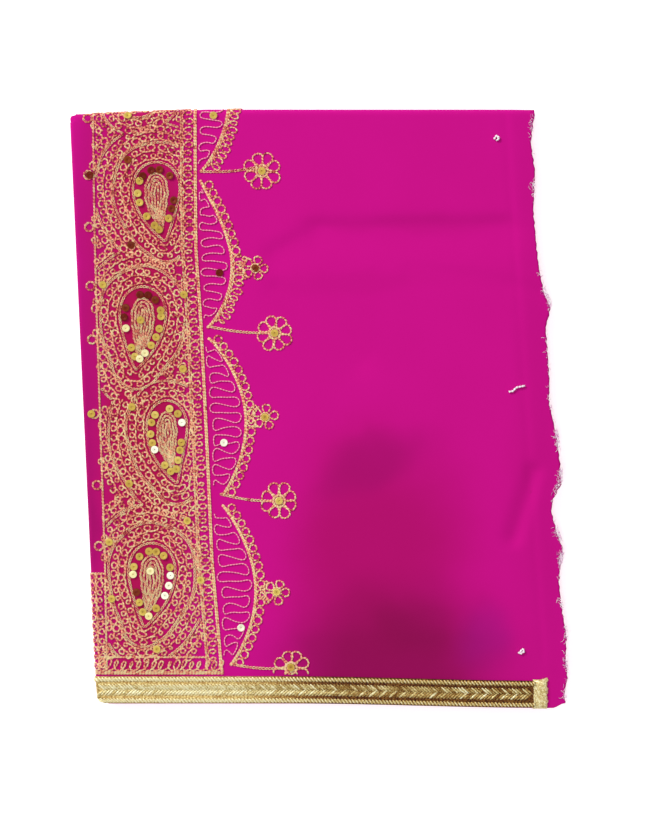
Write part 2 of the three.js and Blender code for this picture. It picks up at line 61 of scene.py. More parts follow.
def new_piece(name, parts, material, replaces=()):
    """One smooth mesh object from parts, each a triple of points (n, 3), faces and a shade for each point.
    The faces are an array (m, k) or a list of such arrays. The points are millimetres and are turned to
    metres. The piece rides on the one body."""
    points, faces, shades, start = [], [], [], 0
    for part_points, part_faces, part_shade in parts:
        count = len(part_points)
        points.append(part_points)
        for block in part_faces if isinstance(part_faces, list) else [part_faces]:
            faces.extend((block + start).tolist())
        shades.append(np.broadcast_to(part_shade, count))
        start += count
    mesh = bpy.data.meshes.new(name)
    mesh.from_pydata(np.concatenate(points) * MM, [], faces)
    mesh.attributes.new("shade", "FLOAT", "POINT").data.foreach_set("value", np.concatenate(shades))
    mesh.polygons.foreach_set("use_smooth", np.ones(len(faces), bool))
    mesh.materials.append(material)
    mesh.update()
    piece = bpy.data.objects.new(name, mesh)
    bpy.context.scene.collection.objects.link(piece)
    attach(piece, "root")
    if replaces:
        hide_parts(*replaces)
    print(f"{name}: {sum(len(face) - 2 for face in faces)} triangles")
    return piece


def grid_faces(rows, columns, closed=False):
    """Quads between the neighbours of a grid of rows by columns; closed joins the last column to the
    first."""
    last = columns if closed else columns - 1
    row, col = np.meshgrid(np.arange(rows - 1), np.arange(last), indexing="ij")
    here = row * columns + col
    right = row * columns + (col + 1) % columns
    return np.stack([here, right, right + columns, here + columns], -1).reshape(-1, 4)


def capped_tube(rows, columns, order=1):
    """The faces of a closed section carried over rows, and one face over each end. An order of -1 turns
    every face the other way."""
    first = np.arange(columns)
    ends = np.stack([first[::-1], (rows - 1) * columns + first])
    return [grid_faces(rows, columns, closed=True)[:, ::order], ends[:, ::order]]


def section(middle, side, out, turn, radius):
    """A ring of points round each middle point: middle + radius (cos t side + sin t out)."""
    around = np.cos(turn)[:, None] * side[..., None, :] + np.sin(turn)[:, None] * out[..., None, :]
    return middle[..., None, :] + np.asarray(radius)[..., None, None] * around


# %% Small formulas
def unit(vectors):
    """Each vector divided by its length."""
    return vectors / np.maximum(np.linalg.norm(vectors, axis=-1, keepdims=True), 1e-9)


def ease(low, high, value):
    """Smooth step: 0 below low, 1 above high, and t * t * (3 - 2 t) between."""
    share = np.clip((value - low) / (high - low), 0, 1)
    return share * share * (3 - 2 * share)


# %% Material helpers
def linear(hex_colour):
    """An sRGB hex colour as linear red, green, blue and alpha."""
    parts = np.array([int(hex_colour[i:i + 2], 16) for i in (1, 3, 5)]) / 255
    low, high = parts / 12.92, ((parts + 0.055) / 1.055) ** 2.4
    return (*np.where(parts <= 0.04045, low, high).tolist(), 1.0)


def node(tree, kind, settings=None, sockets=None):
    """Adds a node with its own settings. A socket gets a plain value, or a link when the value is a
    socket."""
    made = tree.nodes.new(kind)
    for name, value in (settings or {}).items():
        setattr(made, name, value)
    for name, value in (sockets or {}).items():
        if isinstance(value, bpy.types.NodeSocket):
            tree.links.new(value, made.inputs[name])
        else:
            made.inputs[name].default_value = value
    return made


def new_material(name, shader_values):
    """A material with one Principled shader, printed with its roughness; returns it, its tree and the
    shader."""
    material = bpy.data.materials.new(name)
    material.use_nodes = True
    tree = material.node_tree
    shader = tree.nodes["Principled BSDF"]
    for socket, value in shader_values.items():
        shader.inputs[socket].default_value = value
    print("material", name, shader_values.get("Roughness"))
    return material, tree, shader


# %% [markdown]
# ## The packet's outline and height
# The real packet is one rectangle of cloth folded many times, so its edges are nearly straight but not
# quite: the left fold leans, the top fold sags at its left end, and the raw edge wanders. The outline is a
# few short formulas with the same sizes as the solids, so that whatever is laid on the cloth meets it.

# %% Outline and height of the packet
TOP_FOLD = 166.5
HEM = -164.3
HEM_DROP = 2.5
HEM_FALL, HEM_CURL = (-20, 125), (127, 137)  # X between which the hem drops, and curls up again
LEFT_FOLD, LEFT_LEAN = -131.3, 0.0464
RAW_EDGE, RAW_LEAN = 128.5, 0.0538
HEIGHT = 10.0
LEFT_NOSE, TOP_NOSE = 1.9, 3.6
FOOT, TOP_CORNER = 5.6, 3.2  # radii of the packet's corners at the left fold
LEFT_TOP = 163.7  # Y where the left fold meets the top fold
TOP_SAG, TOP_SAG_LENGTH = 2.5, 68.0
PANEL_LENGTH = TOP_FOLD - HEM
LACE_WIDTH = 15.0

CREASE_IN_TOP, CREASE_IN_HEM = 16.3, 11.3
CREASE_DEPTH, CREASE_WIDTH = 0.25, 2.2
MARGIN_FALL, MARGIN_RUN, MARGIN_SHARE = 1.1, 18, 0.06
PRESSED_TO, FREE_FROM = 1, 14  # the lace presses the cloth flat up to 1 mm above it; it is free from 14 mm on

# How far the raw edge strays from its straight line, by the distance down from the top fold
RAW_WAVE_DOWN = [0, 5.8, 15.8, 31.4, 53.4, 63.1, 73.1, 85.3, 100.9, 107.6, 118.7, 131.5, 149.3, 160.4,
                 178.8, 198.2, 206.6, 215.5, 222.1, 234.9, 243.8, 253.3, 262.2, 275.5, 293.3, 306.6,
                 316.1, 325, 330.8]
RAW_WAVE_OUT = [0.4, -0.9, -2.5, -1, -3.2, -2.8, -2.5, -1.8, 0.5, 3.6, 0.1, 0.5, 0.6, -0.3, 2.9,
                4.3, 4.1, -1.2, -2.3, 0.4, 3.3, 1.1, -0.2, 0.5, 2.4, 1.2, 1.8, -0.5, -0.4]

# Soft troughs: both ends, the width to the left of the line, the width to its right, and the depth of each
SOFT_TROUGHS = [
    (-24, 86, 1, 100, 6, 12, 1.1),
    (1, 100, 101, 101, 6, 15, 1.7),
    (-23, 66, 22, 26, 7, 8, 0.8),
    (52, 78, 104, 69, 6, 8, 0.45),
    (106, 69, 126, 64, 4, 5, 0.5),
    (120, -36, 109, -72, 4, 6, 1.7),
    (8, -8, 92, -110, 16, 16, 0.6),
]


print("packet", RAW_EDGE - LEFT_FOLD, "mm wide at its middle,", PANEL_LENGTH, "mm long,", HEIGHT, "mm high")


# %% Formulas of the outline
def top_fold_y(x):
    """Y of the top fold: a straight line that sags over its left end."""
    return TOP_FOLD - TOP_SAG * np.maximum(0, LEFT_FOLD + TOP_SAG_LENGTH - x) / TOP_SAG_LENGTH


def hem_y(x):
    """Y of the hem: it drops gently to the right and curls up at the raw edge."""
    return HEM - ease(*HEM_FALL, x) * HEM_DROP + ease(*HEM_CURL, x) * HEM_DROP


def quarter_round(distance, radius):
    """How far a rounded corner draws in: radius - sqrt(radius squared - (radius - distance) squared)."""
    into = radius - np.clip(distance, 0, radius)
    return radius - np.sqrt(np.maximum(0, radius ** 2 - into ** 2))


def left_fold_x(y):
    """X of the left fold: a leaning line with a quarter round at the foot and a small one at the top."""
    return LEFT_FOLD - LEFT_LEAN * y + quarter_round(y - HEM, FOOT) + quarter_round(LEFT_TOP - y, TOP_CORNER)


def raw_line_x(y):
    """X of the straight line that the raw edge follows."""
    return RAW_EDGE - RAW_LEAN * y


def crease_in(down):
    """How far the press crease lies inside the raw edge's line."""
    return CREASE_IN_TOP + (CREASE_IN_HEM - CREASE_IN_TOP) * down / PANEL_LENGTH


def raw_wave(down):
    """How far the raw edge strays outwards, straight between the measured places."""
    return np.interp(down, RAW_WAVE_DOWN, RAW_WAVE_OUT)


# %% Formulas of the height
def trough_depth(x, y):
    """Each trough is depth * exp(-(distance / width) squared), and its width changes from one side of its
    line to the other. They join as the cube root of the sum of their cubes, so that they don't add up where
    they meet."""
    total = np.zeros(np.broadcast(x, y).shape)
    for x1, y1, x2, y2, left_width, right_width, depth in SOFT_TROUGHS:
        along_x, along_y = x2 - x1, y2 - y1
        share = ((x - x1) * along_x + (y - y1) * along_y) / (along_x ** 2 + along_y ** 2)
        share = np.clip(share, 0, 1)
        away = np.hypot(x - x1 - share * along_x, y - y1 - share * along_y)
        leftward = (along_x * (y - y1) - along_y * (x - x1)) / math.hypot(along_x, along_y)
        side = np.clip(leftward / np.maximum(away, 0.01), -1, 1)
        width = (left_width + right_width) / 2 + (left_width - right_width) / 2 * side
        total = total + (depth * np.exp(-(away / width) ** 2)) ** 3
    return np.cbrt(total)


def face_z(x, y):
    """Height of the cloth's face: the packet's height less the press crease, the falling margin and the
    troughs."""
    past_crease = x - (raw_line_x(y) - crease_in(TOP_FOLD - y))
    clear_of_lace = ease(LACE_WIDTH + PRESSED_TO, LACE_WIDTH + FREE_FROM, y - HEM)
    groove = CREASE_DEPTH * clear_of_lace * np.exp(-(past_crease / CREASE_WIDTH) ** 2)
    fall = MARGIN_FALL * ease(0, MARGIN_RUN, past_crease)
    return HEIGHT - groove - fall - trough_depth(x, y) * clear_of_lace


# %% [markdown]
# ## Places on the cloth
# The embroidery runs on over the top fold, and near the hem it wraps the left fold. So each stitch is
# placed in the flat cloth's own coordinates, and one function bends them round both folds. It gives a point
# and the three directions there: along the cloth's X, along its Y, and straight out of its face.

# %% The bent cloth
WRAP = math.radians(150)


def on_cloth(x, y):
    """The point and the frame of the cloth at flat coordinates x, y. Past the start of a fold's nose the
    distance is an angle, distance / radius, round a circle of that radius."""
    nose_x = left_fold_x(np.minimum(y, TOP_FOLD)) + LEFT_NOSE
    nose_y = top_fold_y(x) - TOP_NOSE
    left = np.clip((nose_x - x) / LEFT_NOSE, 0, WRAP)
    top = np.clip((y - nose_y) / TOP_NOSE, 0, WRAP)
    base_x, base_y = np.maximum(x, nose_x), np.minimum(y, nose_y)
    drop_left, drop_top = LEFT_NOSE * (1 - np.cos(left)), TOP_NOSE * (1 - np.cos(top))
    drop = (drop_left ** 4 + drop_top ** 4) ** 0.25
    point = np.stack([
        base_x - LEFT_NOSE * np.sin(left),
        base_y + TOP_NOSE * np.sin(top),
        face_z(base_x, base_y) - drop,
    ], -1)
    zero = np.zeros_like(drop)
    across = np.stack([np.cos(left), zero, np.sin(left)], -1)
    up = np.stack([zero, np.cos(top), -np.sin(top)], -1)
    return point, unit(across), unit(up), unit(np.cross(across, up))


print("cloth at the origin", on_cloth(np.zeros(1), np.zeros(1))[0], "mm")


# %% [markdown]
# ## Magenta crepe
# The cloth is a light polyester crepe: its hard-twisted yarns give a fine pebble, a matt face and a soft
# sheen where the face turns away. A printed or painted image could carry the colour, but a noise for the
# pebble and a few soft oval patches of painted shade and shadow are enough, and they stay sharp at any size.

# %% Material: crepe
CREPE, CREPE_FADED = "#CB0C8A", "#C40B83"
# colours of the painted shade and shadow on the cloth
PAINTED_SHADE_PLUM = "#A60A68"
PAINTED_SHADE_WINE = "#820A48"
PEBBLE_MM = 1.3  # the real pebble is about 0.4 mm; drawn coarser so that it shows
PATCH_DRIFT = 24.0  # how far a noise moves the patches' edges, in all
CLOUD_SCALE, DRIFT_SCALE = 22.0, 26.0  # clouds about 45 mm wide, and drift about 38 mm
PATCH_FALL = (0.2, 1.5)  # a patch fades between these distances, in its half width and half height

# Painted shade and shadow on the cloth: centre, half width, half height, tilt in degrees, strength and colour
PAINTED_SHADE_PATCHES = [
    # painted shadow over the lower middle of the cloth
    (32, -80, 56, 66, 0, 0.62, "#A20A54"),
    (31, -31, 35, 14, 24, 0.6, "#A00A66"),
    (40, -148, 66, 48, 6, 0.8, "#820A44"),
    (54, -124, 26, 14, -10, 0.3, PAINTED_SHADE_WINE),
    (92, -128, 16, 18, 0, 0.28, "#8C1484"),
    # painted shade along two creases
    (50, 104, 58, 6, 0, 0.14, PAINTED_SHADE_PLUM),
    (20, 71, 44, 7, 0, 0.12, PAINTED_SHADE_PLUM),
    # painted shade on the cloth between the band's stitches
    (-97, 10, 32, 240, 0, 0.8, "#A41034"),
    # painted shade where the cloth turns away at the left fold
    (-130, 0, 11, 260, 0, 0.5, PAINTED_SHADE_PLUM),
    (-134, -70, 9, 110, 0, 0.36, PAINTED_SHADE_WINE),
    # painted shade where the right margin falls away past the press crease
    (124, 0, 16, 260, 0, 0.12, PAINTED_SHADE_PLUM),
]


def crepe_material(name, base, patches):
    """Crepe: a pebble bump, a faint cloudiness, and soft oval patches of painted shade and shadow with uneven
    edges, each a smooth step of the distance from its centre, measured in its own half width and half height."""
    material, tree, shader = new_material(name, {
        "Roughness": 0.8, "Sheen Weight": 0.03, "Sheen Roughness": 0.4, "Sheen Tint": linear("#FF70C0"),
        "Specular IOR Level": 0.06,
    })
    place = node(tree, "ShaderNodeTexCoord").outputs["Object"]
    cloud = node(tree, "ShaderNodeTexNoise", sockets={"Vector": place, "Scale": CLOUD_SCALE, "Detail": 3.0})
    colour = node(tree, "ShaderNodeMix", {"data_type": "RGBA"}, {
        "Factor": cloud.outputs["Fac"], "A": linear(base), "B": linear(CREPE_FADED),
    }).outputs["Result"]
    drift = node(tree, "ShaderNodeTexNoise", sockets={"Vector": place, "Scale": DRIFT_SCALE, "Detail": 2.0})
    reach = PATCH_DRIFT * MM
    shift = node(tree, "ShaderNodeVectorMath", {"operation": "MULTIPLY_ADD"}, {
        0: drift.outputs["Color"], 1: (reach, reach, 0), 2: (-reach / 2, -reach / 2, 0),
    })
    drifted = node(tree, "ShaderNodeVectorMath", {"operation": "ADD"}, {0: place, 1: shift.outputs["Vector"]})
    for x, y, half_width, half_height, tilt, strength, tint in patches:
        moved = node(tree, "ShaderNodeMapping", {"vector_type": "TEXTURE"}, {
            "Vector": drifted.outputs["Vector"], "Location": (x * MM, y * MM, 0.0),
            "Rotation": (0.0, 0.0, math.radians(tilt)), "Scale": (half_width * MM, half_height * MM, 10.0),
        })
        away = node(tree, "ShaderNodeVectorMath", {"operation": "LENGTH"}, {
            "Vector": moved.outputs["Vector"],
        })
        fall = node(tree, "ShaderNodeMapRange", {"interpolation_type": "SMOOTHERSTEP"}, {
            "Value": away.outputs["Value"], "From Min": PATCH_FALL[0], "From Max": PATCH_FALL[1],
            "To Min": strength, "To Max": 0.0,
        })
        colour = node(tree, "ShaderNodeMix", {"data_type": "RGBA"}, {
            "Factor": fall.outputs["Result"], "A": colour, "B": linear(tint),
        }).outputs["Result"]
    tree.links.new(colour, shader.inputs["Base Color"])
    pebble = node(tree, "ShaderNodeTexNoise", sockets={"Vector": place, "Scale": 1 / (PEBBLE_MM * MM)})
    bump = node(tree, "ShaderNodeBump", sockets={
        "Height": pebble.outputs["Fac"], "Strength": 0.12, "Distance": 0.0002,
    })
    tree.links.new(bump.outputs["Normal"], shader.inputs["Normal"])
    return material


crepe = crepe_material("magenta_crepe", CREPE, PAINTED_SHADE_PATCHES)
hidden_crepe = crepe_material("magenta_crepe_layers", "#B81278", [])

# %% [markdown]
# ## The front panel
# On the real shawl this is the stretch of cloth that shows: it rolls over the left and top folds and ends
# in a bare edge on the other two sides. It could be draped by simulation, but a pressed and folded packet
# has few and shallow creases, so they are placed in the height formula. The face is one grid, and
# Solidify gives it the thickness of the cloth.

# %% Front panel
CLOTH_THICKNESS = 0.35
EDGE_RUFFLE = 0.35  # small unevenness of the cut edge
RUFFLE_FAST, RUFFLE_SLOW = 1.7, 0.63  # radians for each millimetre down the edge
NEAR_FOLD = 0.1  # share of the field, beside the left fold, whose columns lie closer
FOLD_COLUMNS, FIELD_COLUMNS, MARGIN_COLUMNS = 16, 118, 13
ROWS, ROWS_END = 196, 6  # even rows, and how far from the hem they end
NEAR_HEM = np.array([4.6, 3.4, 2.3, 1.4, 0.7, 0.25, 0])  # the last rows, by their distance from the hem
NOSE_STEPS = 12


def panel_grid():
    """Flat cloth coordinates of the panel: columns from the left fold's wrap to the raw edge, rows from the
    hem to the top fold's wrap. A column is a share of the field up to the press crease, then a share of the
    margin."""
    near_fold = np.linspace(0, NEAR_FOLD, FOLD_COLUMNS)[:-1]
    field = np.concatenate([near_fold, np.linspace(NEAR_FOLD, 1, FIELD_COLUMNS)])
    margin = np.linspace(0, 1, MARGIN_COLUMNS)[1:]
    share_field = np.concatenate([field, np.ones(len(margin))])
    share_margin = np.concatenate([np.zeros(len(field)), margin])
    down = np.concatenate([np.linspace(0, PANEL_LENGTH - ROWS_END, ROWS), PANEL_LENGTH - NEAR_HEM])
    share_field, down = np.meshgrid(share_field, down[::-1])
    share_margin = np.broadcast_to(share_margin, share_field.shape)
    nominal_y = TOP_FOLD - down
    share = share_field + (share_margin - share_field) * MARGIN_SHARE
    nominal_x = left_fold_x(nominal_y) + (raw_line_x(nominal_y) - left_fold_x(nominal_y)) * share
    y = top_fold_y(nominal_x) + (hem_y(nominal_x) - top_fold_y(nominal_x)) * down / PANEL_LENGTH
    left = left_fold_x(y) + LEFT_NOSE
    crease = raw_line_x(y) - crease_in(down)
    ruffle = EDGE_RUFFLE * np.sin(down * RUFFLE_FAST) * np.sin(down * RUFFLE_SLOW + 1)
    raw = raw_line_x(y) + raw_wave(down) + ruffle
    x = left + (crease - left) * share_field + (raw - crease) * share_margin
    start = top_fold_y(x) - TOP_NOSE
    y = hem_y(x) + (y - hem_y(x)) * (start - hem_y(x)) / (top_fold_y(x) - hem_y(x))
    turns = np.linspace(0, WRAP, NOSE_STEPS)[1:]
    x_all = np.concatenate([x, np.repeat(x[-1:], len(turns), 0)])
    y_all = np.concatenate([y, start[-1:] + turns[:, None] * TOP_NOSE])
    left_x = x_all[:, :1] - turns[::-1][None, :] * LEFT_NOSE
    left_y = np.repeat(y_all[:, :1], len(turns), 1)
    return np.concatenate([left_x, x_all], 1), np.concatenate([left_y, y_all], 1)


panel_x, panel_y = panel_grid()
panel_points = on_cloth(panel_x, panel_y)[0]
panel = new_piece(
    "shawl_front_panel",
    [(panel_points.reshape(-1, 3), grid_faces(*panel_x.shape), 0.5)],
    crepe, ["front_panel"],
)
solidify = panel.modifiers.new("cloth_thickness", "SOLIDIFY")
solidify.thickness = CLOTH_THICKNESS * MM
solidify.offset = -1.0

# %% [markdown]
# ## The hidden layers
# Under the front panel lie 23 more layers of the same cloth, in three bundles. Only their edges show, so
# they are one solid whose side is a stack of thin rounded edges. Each layer has its own wandering edge on
# the free sides, and on the folded sides a bundle ends in one round nose.

# %% Hidden layers
LAYERS = 23
LAYER_RINGS = [(0.04, 0.22), (0.2, 0.06), (0.5, 0.0), (0.8, 0.06), (0.96, 0.22)]  # share of a layer, inset
BUNDLES = [  # bottom, top, inset at the left fold, inset at the top fold
    (0.0, 0.333, 0.35, 0.4),
    (0.333, 0.667, 0.2, 2.7),
    (0.667, 1.0, 1.95, 2.75),
]
BORDER_STEP = 4.0
UNDER_PANEL = 0.05  # gap between the panel and the first hidden layer
EDGE_IN, EDGE_SPREAD = 0.95, (-0.25, 0.45)  # how far a layer's free edge lies in, and what each one adds
EDGE_WAVES, WAVE_TALL, WAVE_SHARE = (3, 7, 16), (0.1, 0.35), 0.6  # waves round the packet in a layer's edge
NOSE_IN = 1.5  # how far a bundle's round nose draws in at its top and bottom
LAYER_AT_LEFT, NOSE_AT_TOP = 0.35, 0.7  # shares of a layer's inset at the left, and of the nose at the top
# Insets of the rings that close the stack: at the free edges, at the left fold and at the top fold
LOWEST_RING, LID_RING, TABLE_RING = (1.6, 1.5, 1.4), (1.6, 2.9, 3.8), (1.9, 1.8, 1.7)
FOOT_RUN = 24  # along the hem the left fold's insets fade over this length
CORNER_RUN = 8  # at the other corners one side's insets turn into the next one's over about this length


# %% Plan of the packet
def packet_plan():
    """The packet's outline as a grid of plan points, rows from the hem up and columns from the left."""
    rows, columns = round(PANEL_LENGTH / BORDER_STEP), round((RAW_EDGE - LEFT_FOLD) / BORDER_STEP)
    up, across = np.meshgrid(np.linspace(0, 1, rows), np.linspace(0, 1, columns), indexing="ij")
    y = HEM + up * PANEL_LENGTH
    raw = raw_line_x(y) + raw_wave(TOP_FOLD - y)
    x = left_fold_x(y) + (raw - left_fold_x(y)) * across
    y = hem_y(x) + (top_fold_y(x) - hem_y(x)) * up
    return x, y


def border_places(rows, columns):
    """Row and column of each border point, anticlockwise from the lower left corner."""
    up, down = np.arange(rows - 1), np.arange(rows - 1, 0, -1)
    right, left = np.arange(columns - 1), np.arange(columns - 1, 0, -1)
    row = np.concatenate([np.zeros(columns - 1), up, np.full(columns - 1, rows - 1), down])
    col = np.concatenate([right, np.full(rows - 1, columns - 1), left, np.zeros(rows - 1)])
    return row.astype(int), col.astype(int)


def side_insets(x, y, row, col, rows, columns):
    """How much each border point belongs to the left fold and to the top fold, from 0 to 1."""
    below_top = np.clip((top_fold_y(x) - y) / CORNER_RUN, 0, 1)
    left = np.where(col == 0, 0.5 + 0.5 * below_top, 0)
    left = np.where(row == 0, 1 - ease(FOOT, FOOT + FOOT_RUN, x - left_fold_x(HEM)), left)
    on_top = row == rows - 1
    near_left = np.clip((x - LEFT_FOLD + CORNER_RUN) / (CORNER_RUN + 5), 0, 1)
    near_raw = np.clip((RAW_EDGE - (CORNER_RUN + 1) - x) / CORNER_RUN, 0, 1)
    left = np.where(on_top, 0.5 * (1 - near_left), left)
    top = np.where(on_top, 0.5 + 0.5 * np.minimum(near_left, near_raw), 0)
    top = np.where((col == 0) & ~on_top, 1 - left, top)
    return left, np.where((col == columns - 1) & ~on_top, 0.5 * (1 - below_top), top)


# %% The layered side
def hidden_layers():
    """Rings round the outline from the top down, pulled in along its normal by free, left and top insets,
    between a grid under the panel and a flat grid on the table."""
    x, y = packet_plan()
    rows, columns = x.shape
    row, col = border_places(rows, columns)
    border = np.stack([x[row, col], y[row, col]], -1)
    tangent = unit(np.roll(border, -1, 0) - np.roll(border, 1, 0))
    outward = np.stack([tangent[:, 1], -tangent[:, 0]], -1)
    left, top = side_insets(border[:, 0], border[:, 1], row, col, rows, columns)
    run = np.arange(len(border)) * 2 * math.pi / len(border)

    def ring(level, inset_free, nose_left, nose_top):
        inset = inset_free * (1 - left - top) + nose_left * left + nose_top * top
        plan = border - outward * inset[:, None]
        height = face_z(plan[:, 0], plan[:, 1]) - CLOTH_THICKNESS - UNDER_PANEL
        return np.concatenate([plan, (level * height)[:, None]], 1)

    rings = []
    for layer in range(LAYERS - 1, -1, -1):
        wander = sum(rng.uniform(*WAVE_TALL) * np.sin(run * k + rng.uniform(0, 6)) for k in EDGE_WAVES)
        edge = EDGE_IN + rng.uniform(*EDGE_SPREAD) + wander * WAVE_SHARE
        for share, inset in LAYER_RINGS[::-1]:
            level = (layer + share) / LAYERS
            bottom, high, nose_left, nose_top = next(b for b in BUNDLES if level <= b[1])
            middle = (level - bottom) / (high - bottom) * 2 - 1
            round_in = NOSE_IN * (1 - math.sqrt(max(0, 1 - middle ** 2)))
            left_in = nose_left + round_in + inset * LAYER_AT_LEFT
            top_in = nose_top + round_in * NOSE_AT_TOP
            rings.append(ring(level, edge + inset, left_in, top_in))
    rings.append(ring(0.0, *LOWEST_RING))
    around = len(border)
    top_height = face_z(x, y) - CLOTH_THICKNESS - UNDER_PANEL
    above = np.stack([x, y, top_height], -1)
    above[row, col] = ring(1.0, *LID_RING)
    below = np.stack([x, y, np.zeros_like(x)], -1)
    below[row, col] = ring(0.0, *TABLE_RING)
    points = np.concatenate([above.reshape(-1, 3), *rings, below.reshape(-1, 3)])
    border_index = row * columns + col
    ring_start = rows * columns
    first = np.stack([border_index, np.roll(border_index, -1), ring_start + (np.arange(around) + 1) % around,
                      ring_start + np.arange(around)], -1)[:, ::-1]
    sides = grid_faces(len(rings), around, closed=True)[:, ::-1] + ring_start
    last_start = ring_start + (len(rings) - 1) * around
    below_start = last_start + around
    last = np.stack([last_start + np.arange(around), last_start + (np.arange(around) + 1) % around,
                     below_start + np.roll(border_index, -1), below_start + border_index], -1)[:, ::-1]
    faces = np.concatenate([grid_faces(rows, columns), first, sides, last,
                            grid_faces(rows, columns)[:, ::-1] + below_start])
    return points, faces, 0.5


new_piece("shawl_hidden_layers", [hidden_layers()], hidden_crepe, ["folded_layers"])

# %% [markdown]
# ## Chain stitch
# The band is worked in chain stitch with a metallic thread: each stitch is a loop that is narrow where it
# starts inside the loop before it and round where the next one holds it down. A flat textured ribbon would
# be cheaper, but it shows no thread from the side, so every loop is a real closed thread of eight places
# and three sides.

# %% Sizes of the stitch
LINK_PITCH = 1.75
LINK_REACH = 1.15  # a loop's length in pitches, because it starts inside the one before
LINK_WIDTH, NARROW = 0.8, 0.6
LINK_SLANT = 0.35  # each loop lies aslant, by this much from its start to its end
LINK_BACK = 0.15  # a loop starts this far inside the one before, in pitches
LINK_LIFT, LINK_ARCH = 0.8, 0.6  # height of a loop's ends, and what its middle adds, in thread radii
FATNESS = (0.8, 1.2)  # no two loops are drawn equally wide
THREAD_RADIUS = 0.3
PATH_STEP = 0.4  # a path is cut this finely before stitches are set on it
print("thread", 2 * THREAD_RADIUS, "mm wide, a stitch every", LINK_PITCH, "mm")
LOOP_TURN = np.linspace(0, 2 * math.pi, 8, endpoint=False)
LOOP_ALONG = 0.5 - 0.5 * np.cos(LOOP_TURN)
LOOP_ACROSS = np.sin(LOOP_TURN) * LOOP_ALONG ** 0.45
SIDE_TURN = np.radians([90, 210, 330])
RIDGE_SHADE = np.array([0.16, -0.14, -0.14])  # the ridge catches the light and the foot lies in shade
LOOP_SHADE = 0.6 * np.sin(math.pi * LOOP_ALONG) - 0.32  # painted light: a loop is brightest at its high middle
SHADE_SPREAD = 0.24
GLARE_DRIFT = 0.12  # painted glare: yellower low on the cloth and pinker high, by this much each way


# %% Paths
def measure(path):
    """The distance along a path at each of its points."""
    return np.concatenate([[0], np.cumsum(np.hypot(*np.diff(path, axis=0).T))])


def at(path, run, places):
    """The points of a path at distances along it, straight between its own points."""
    return np.stack([np.interp(places, run, path[:, k]) for k in (0, 1)], -1)


def resample(path, step):
    """The same path with points about a step apart."""
    run = measure(path)
    count = max(2, round(run[-1] / step) + 1)
    return at(path, run, np.linspace(0, run[-1], count))


def beside(path, offset):
    """The path moved sideways by an offset, to its left where that is positive."""
    step = unit(np.gradient(path, axis=0))
    return path + np.stack([-step[:, 1], step[:, 0]], -1) * offset


def repeat_faces(one, count, size):
    """The faces of one shape repeated count times, where each copy has its own size points."""
    return (one[None] + (np.arange(count) * size)[:, None, None]).reshape(-1, one.shape[1])


# %% Chains
def chain(path, shade=0.5, width=LINK_WIDTH, pitch=LINK_PITCH, radius=THREAD_RADIUS):
    """Chain stitch along a path in flat cloth coordinates. A loop's centre line is along = (1 - cos t) / 2
    and across = sin t * along ** 0.45, and its thread has three sides round that line."""
    path = resample(np.asarray(path, float), PATH_STEP)
    run = measure(path)
    heading = unit(np.gradient(path, axis=0))
    count = max(1, round(run[-1] / pitch))
    step = run[-1] / count
    starts = np.arange(count)[:, None] * step
    places = np.clip(starts + (LOOP_ALONG * LINK_REACH - LINK_BACK)[None, :] * step, 0, run[-1])
    fatness = rng.uniform(*FATNESS, (count, 1))
    across = LOOP_ACROSS[None, :] * width / 2 * fatness + LINK_SLANT * (LOOP_ALONG - 0.5)[None, :]
    centre = at(path, run, places)
    ahead = unit(at(heading, run, places))
    centre = centre + np.stack([-ahead[..., 1], ahead[..., 0]], -1) * across[..., None]
    tangent = unit(np.roll(centre, -1, 1) - np.roll(centre, 1, 1))
    point, east, north, out = on_cloth(centre[..., 0], centre[..., 1])
    side = east * tangent[..., 1:2] - north * tangent[..., 0:1]
    lift = radius * (LINK_LIFT + LINK_ARCH * np.sin(math.pi * LOOP_ALONG))[None, :, None]
    corners = section(point + out * lift, side, out, SIDE_TURN, radius)
    size, sides = len(LOOP_TURN), len(SIDE_TURN)
    j, k = np.meshgrid(np.arange(size), np.arange(sides), indexing="ij")
    one = np.stack([(j + 1) % size * sides + k, (j + 1) % size * sides + (k + 1) % sides,
                    j * sides + (k + 1) % sides, j * sides + k], -1).reshape(-1, 4)
    # the shade paints light: brighter at the ridge, a loop's middle and low on the cloth, darker at feet and
    # ends
    shades = shade + rng.normal(0, SHADE_SPREAD, count) - GLARE_DRIFT * centre[:, 0, 1] / TOP_FOLD
    shades = shades[:, None, None] + LOOP_SHADE[None, :, None] + RIDGE_SHADE[None, None, :]
    return corners.reshape(-1, 3), repeat_faces(one, count, size * sides), np.clip(shades, 0, 1).ravel()


def double_chain(path, gap=0.75, shade=0.6):
    """Two narrow chains side by side, a gap apart."""
    path = resample(np.asarray(path, float), 0.8)
    return [chain(beside(path, offset), shade, width=NARROW) for offset in (-gap / 2, gap / 2)]


def stretches(path, keep, least=6):
    """The stretches of a path where keep is true, if they have enough points."""
    edges = np.flatnonzero(np.diff(np.concatenate([[0], keep.astype(int), [0]])))
    return [path[a:b] for a, b in zip(edges[::2], edges[1::2]) if b - a >= least]


# %% Rows of loops and rings
LOOP_POINTS = 20  # points of a loop's path
LOOP_SIZES = (0.72, 1.18)
LOOP_STRAY = 0.1  # how far a loop strays along its row, in pitches
TURN_BACK = 1.4


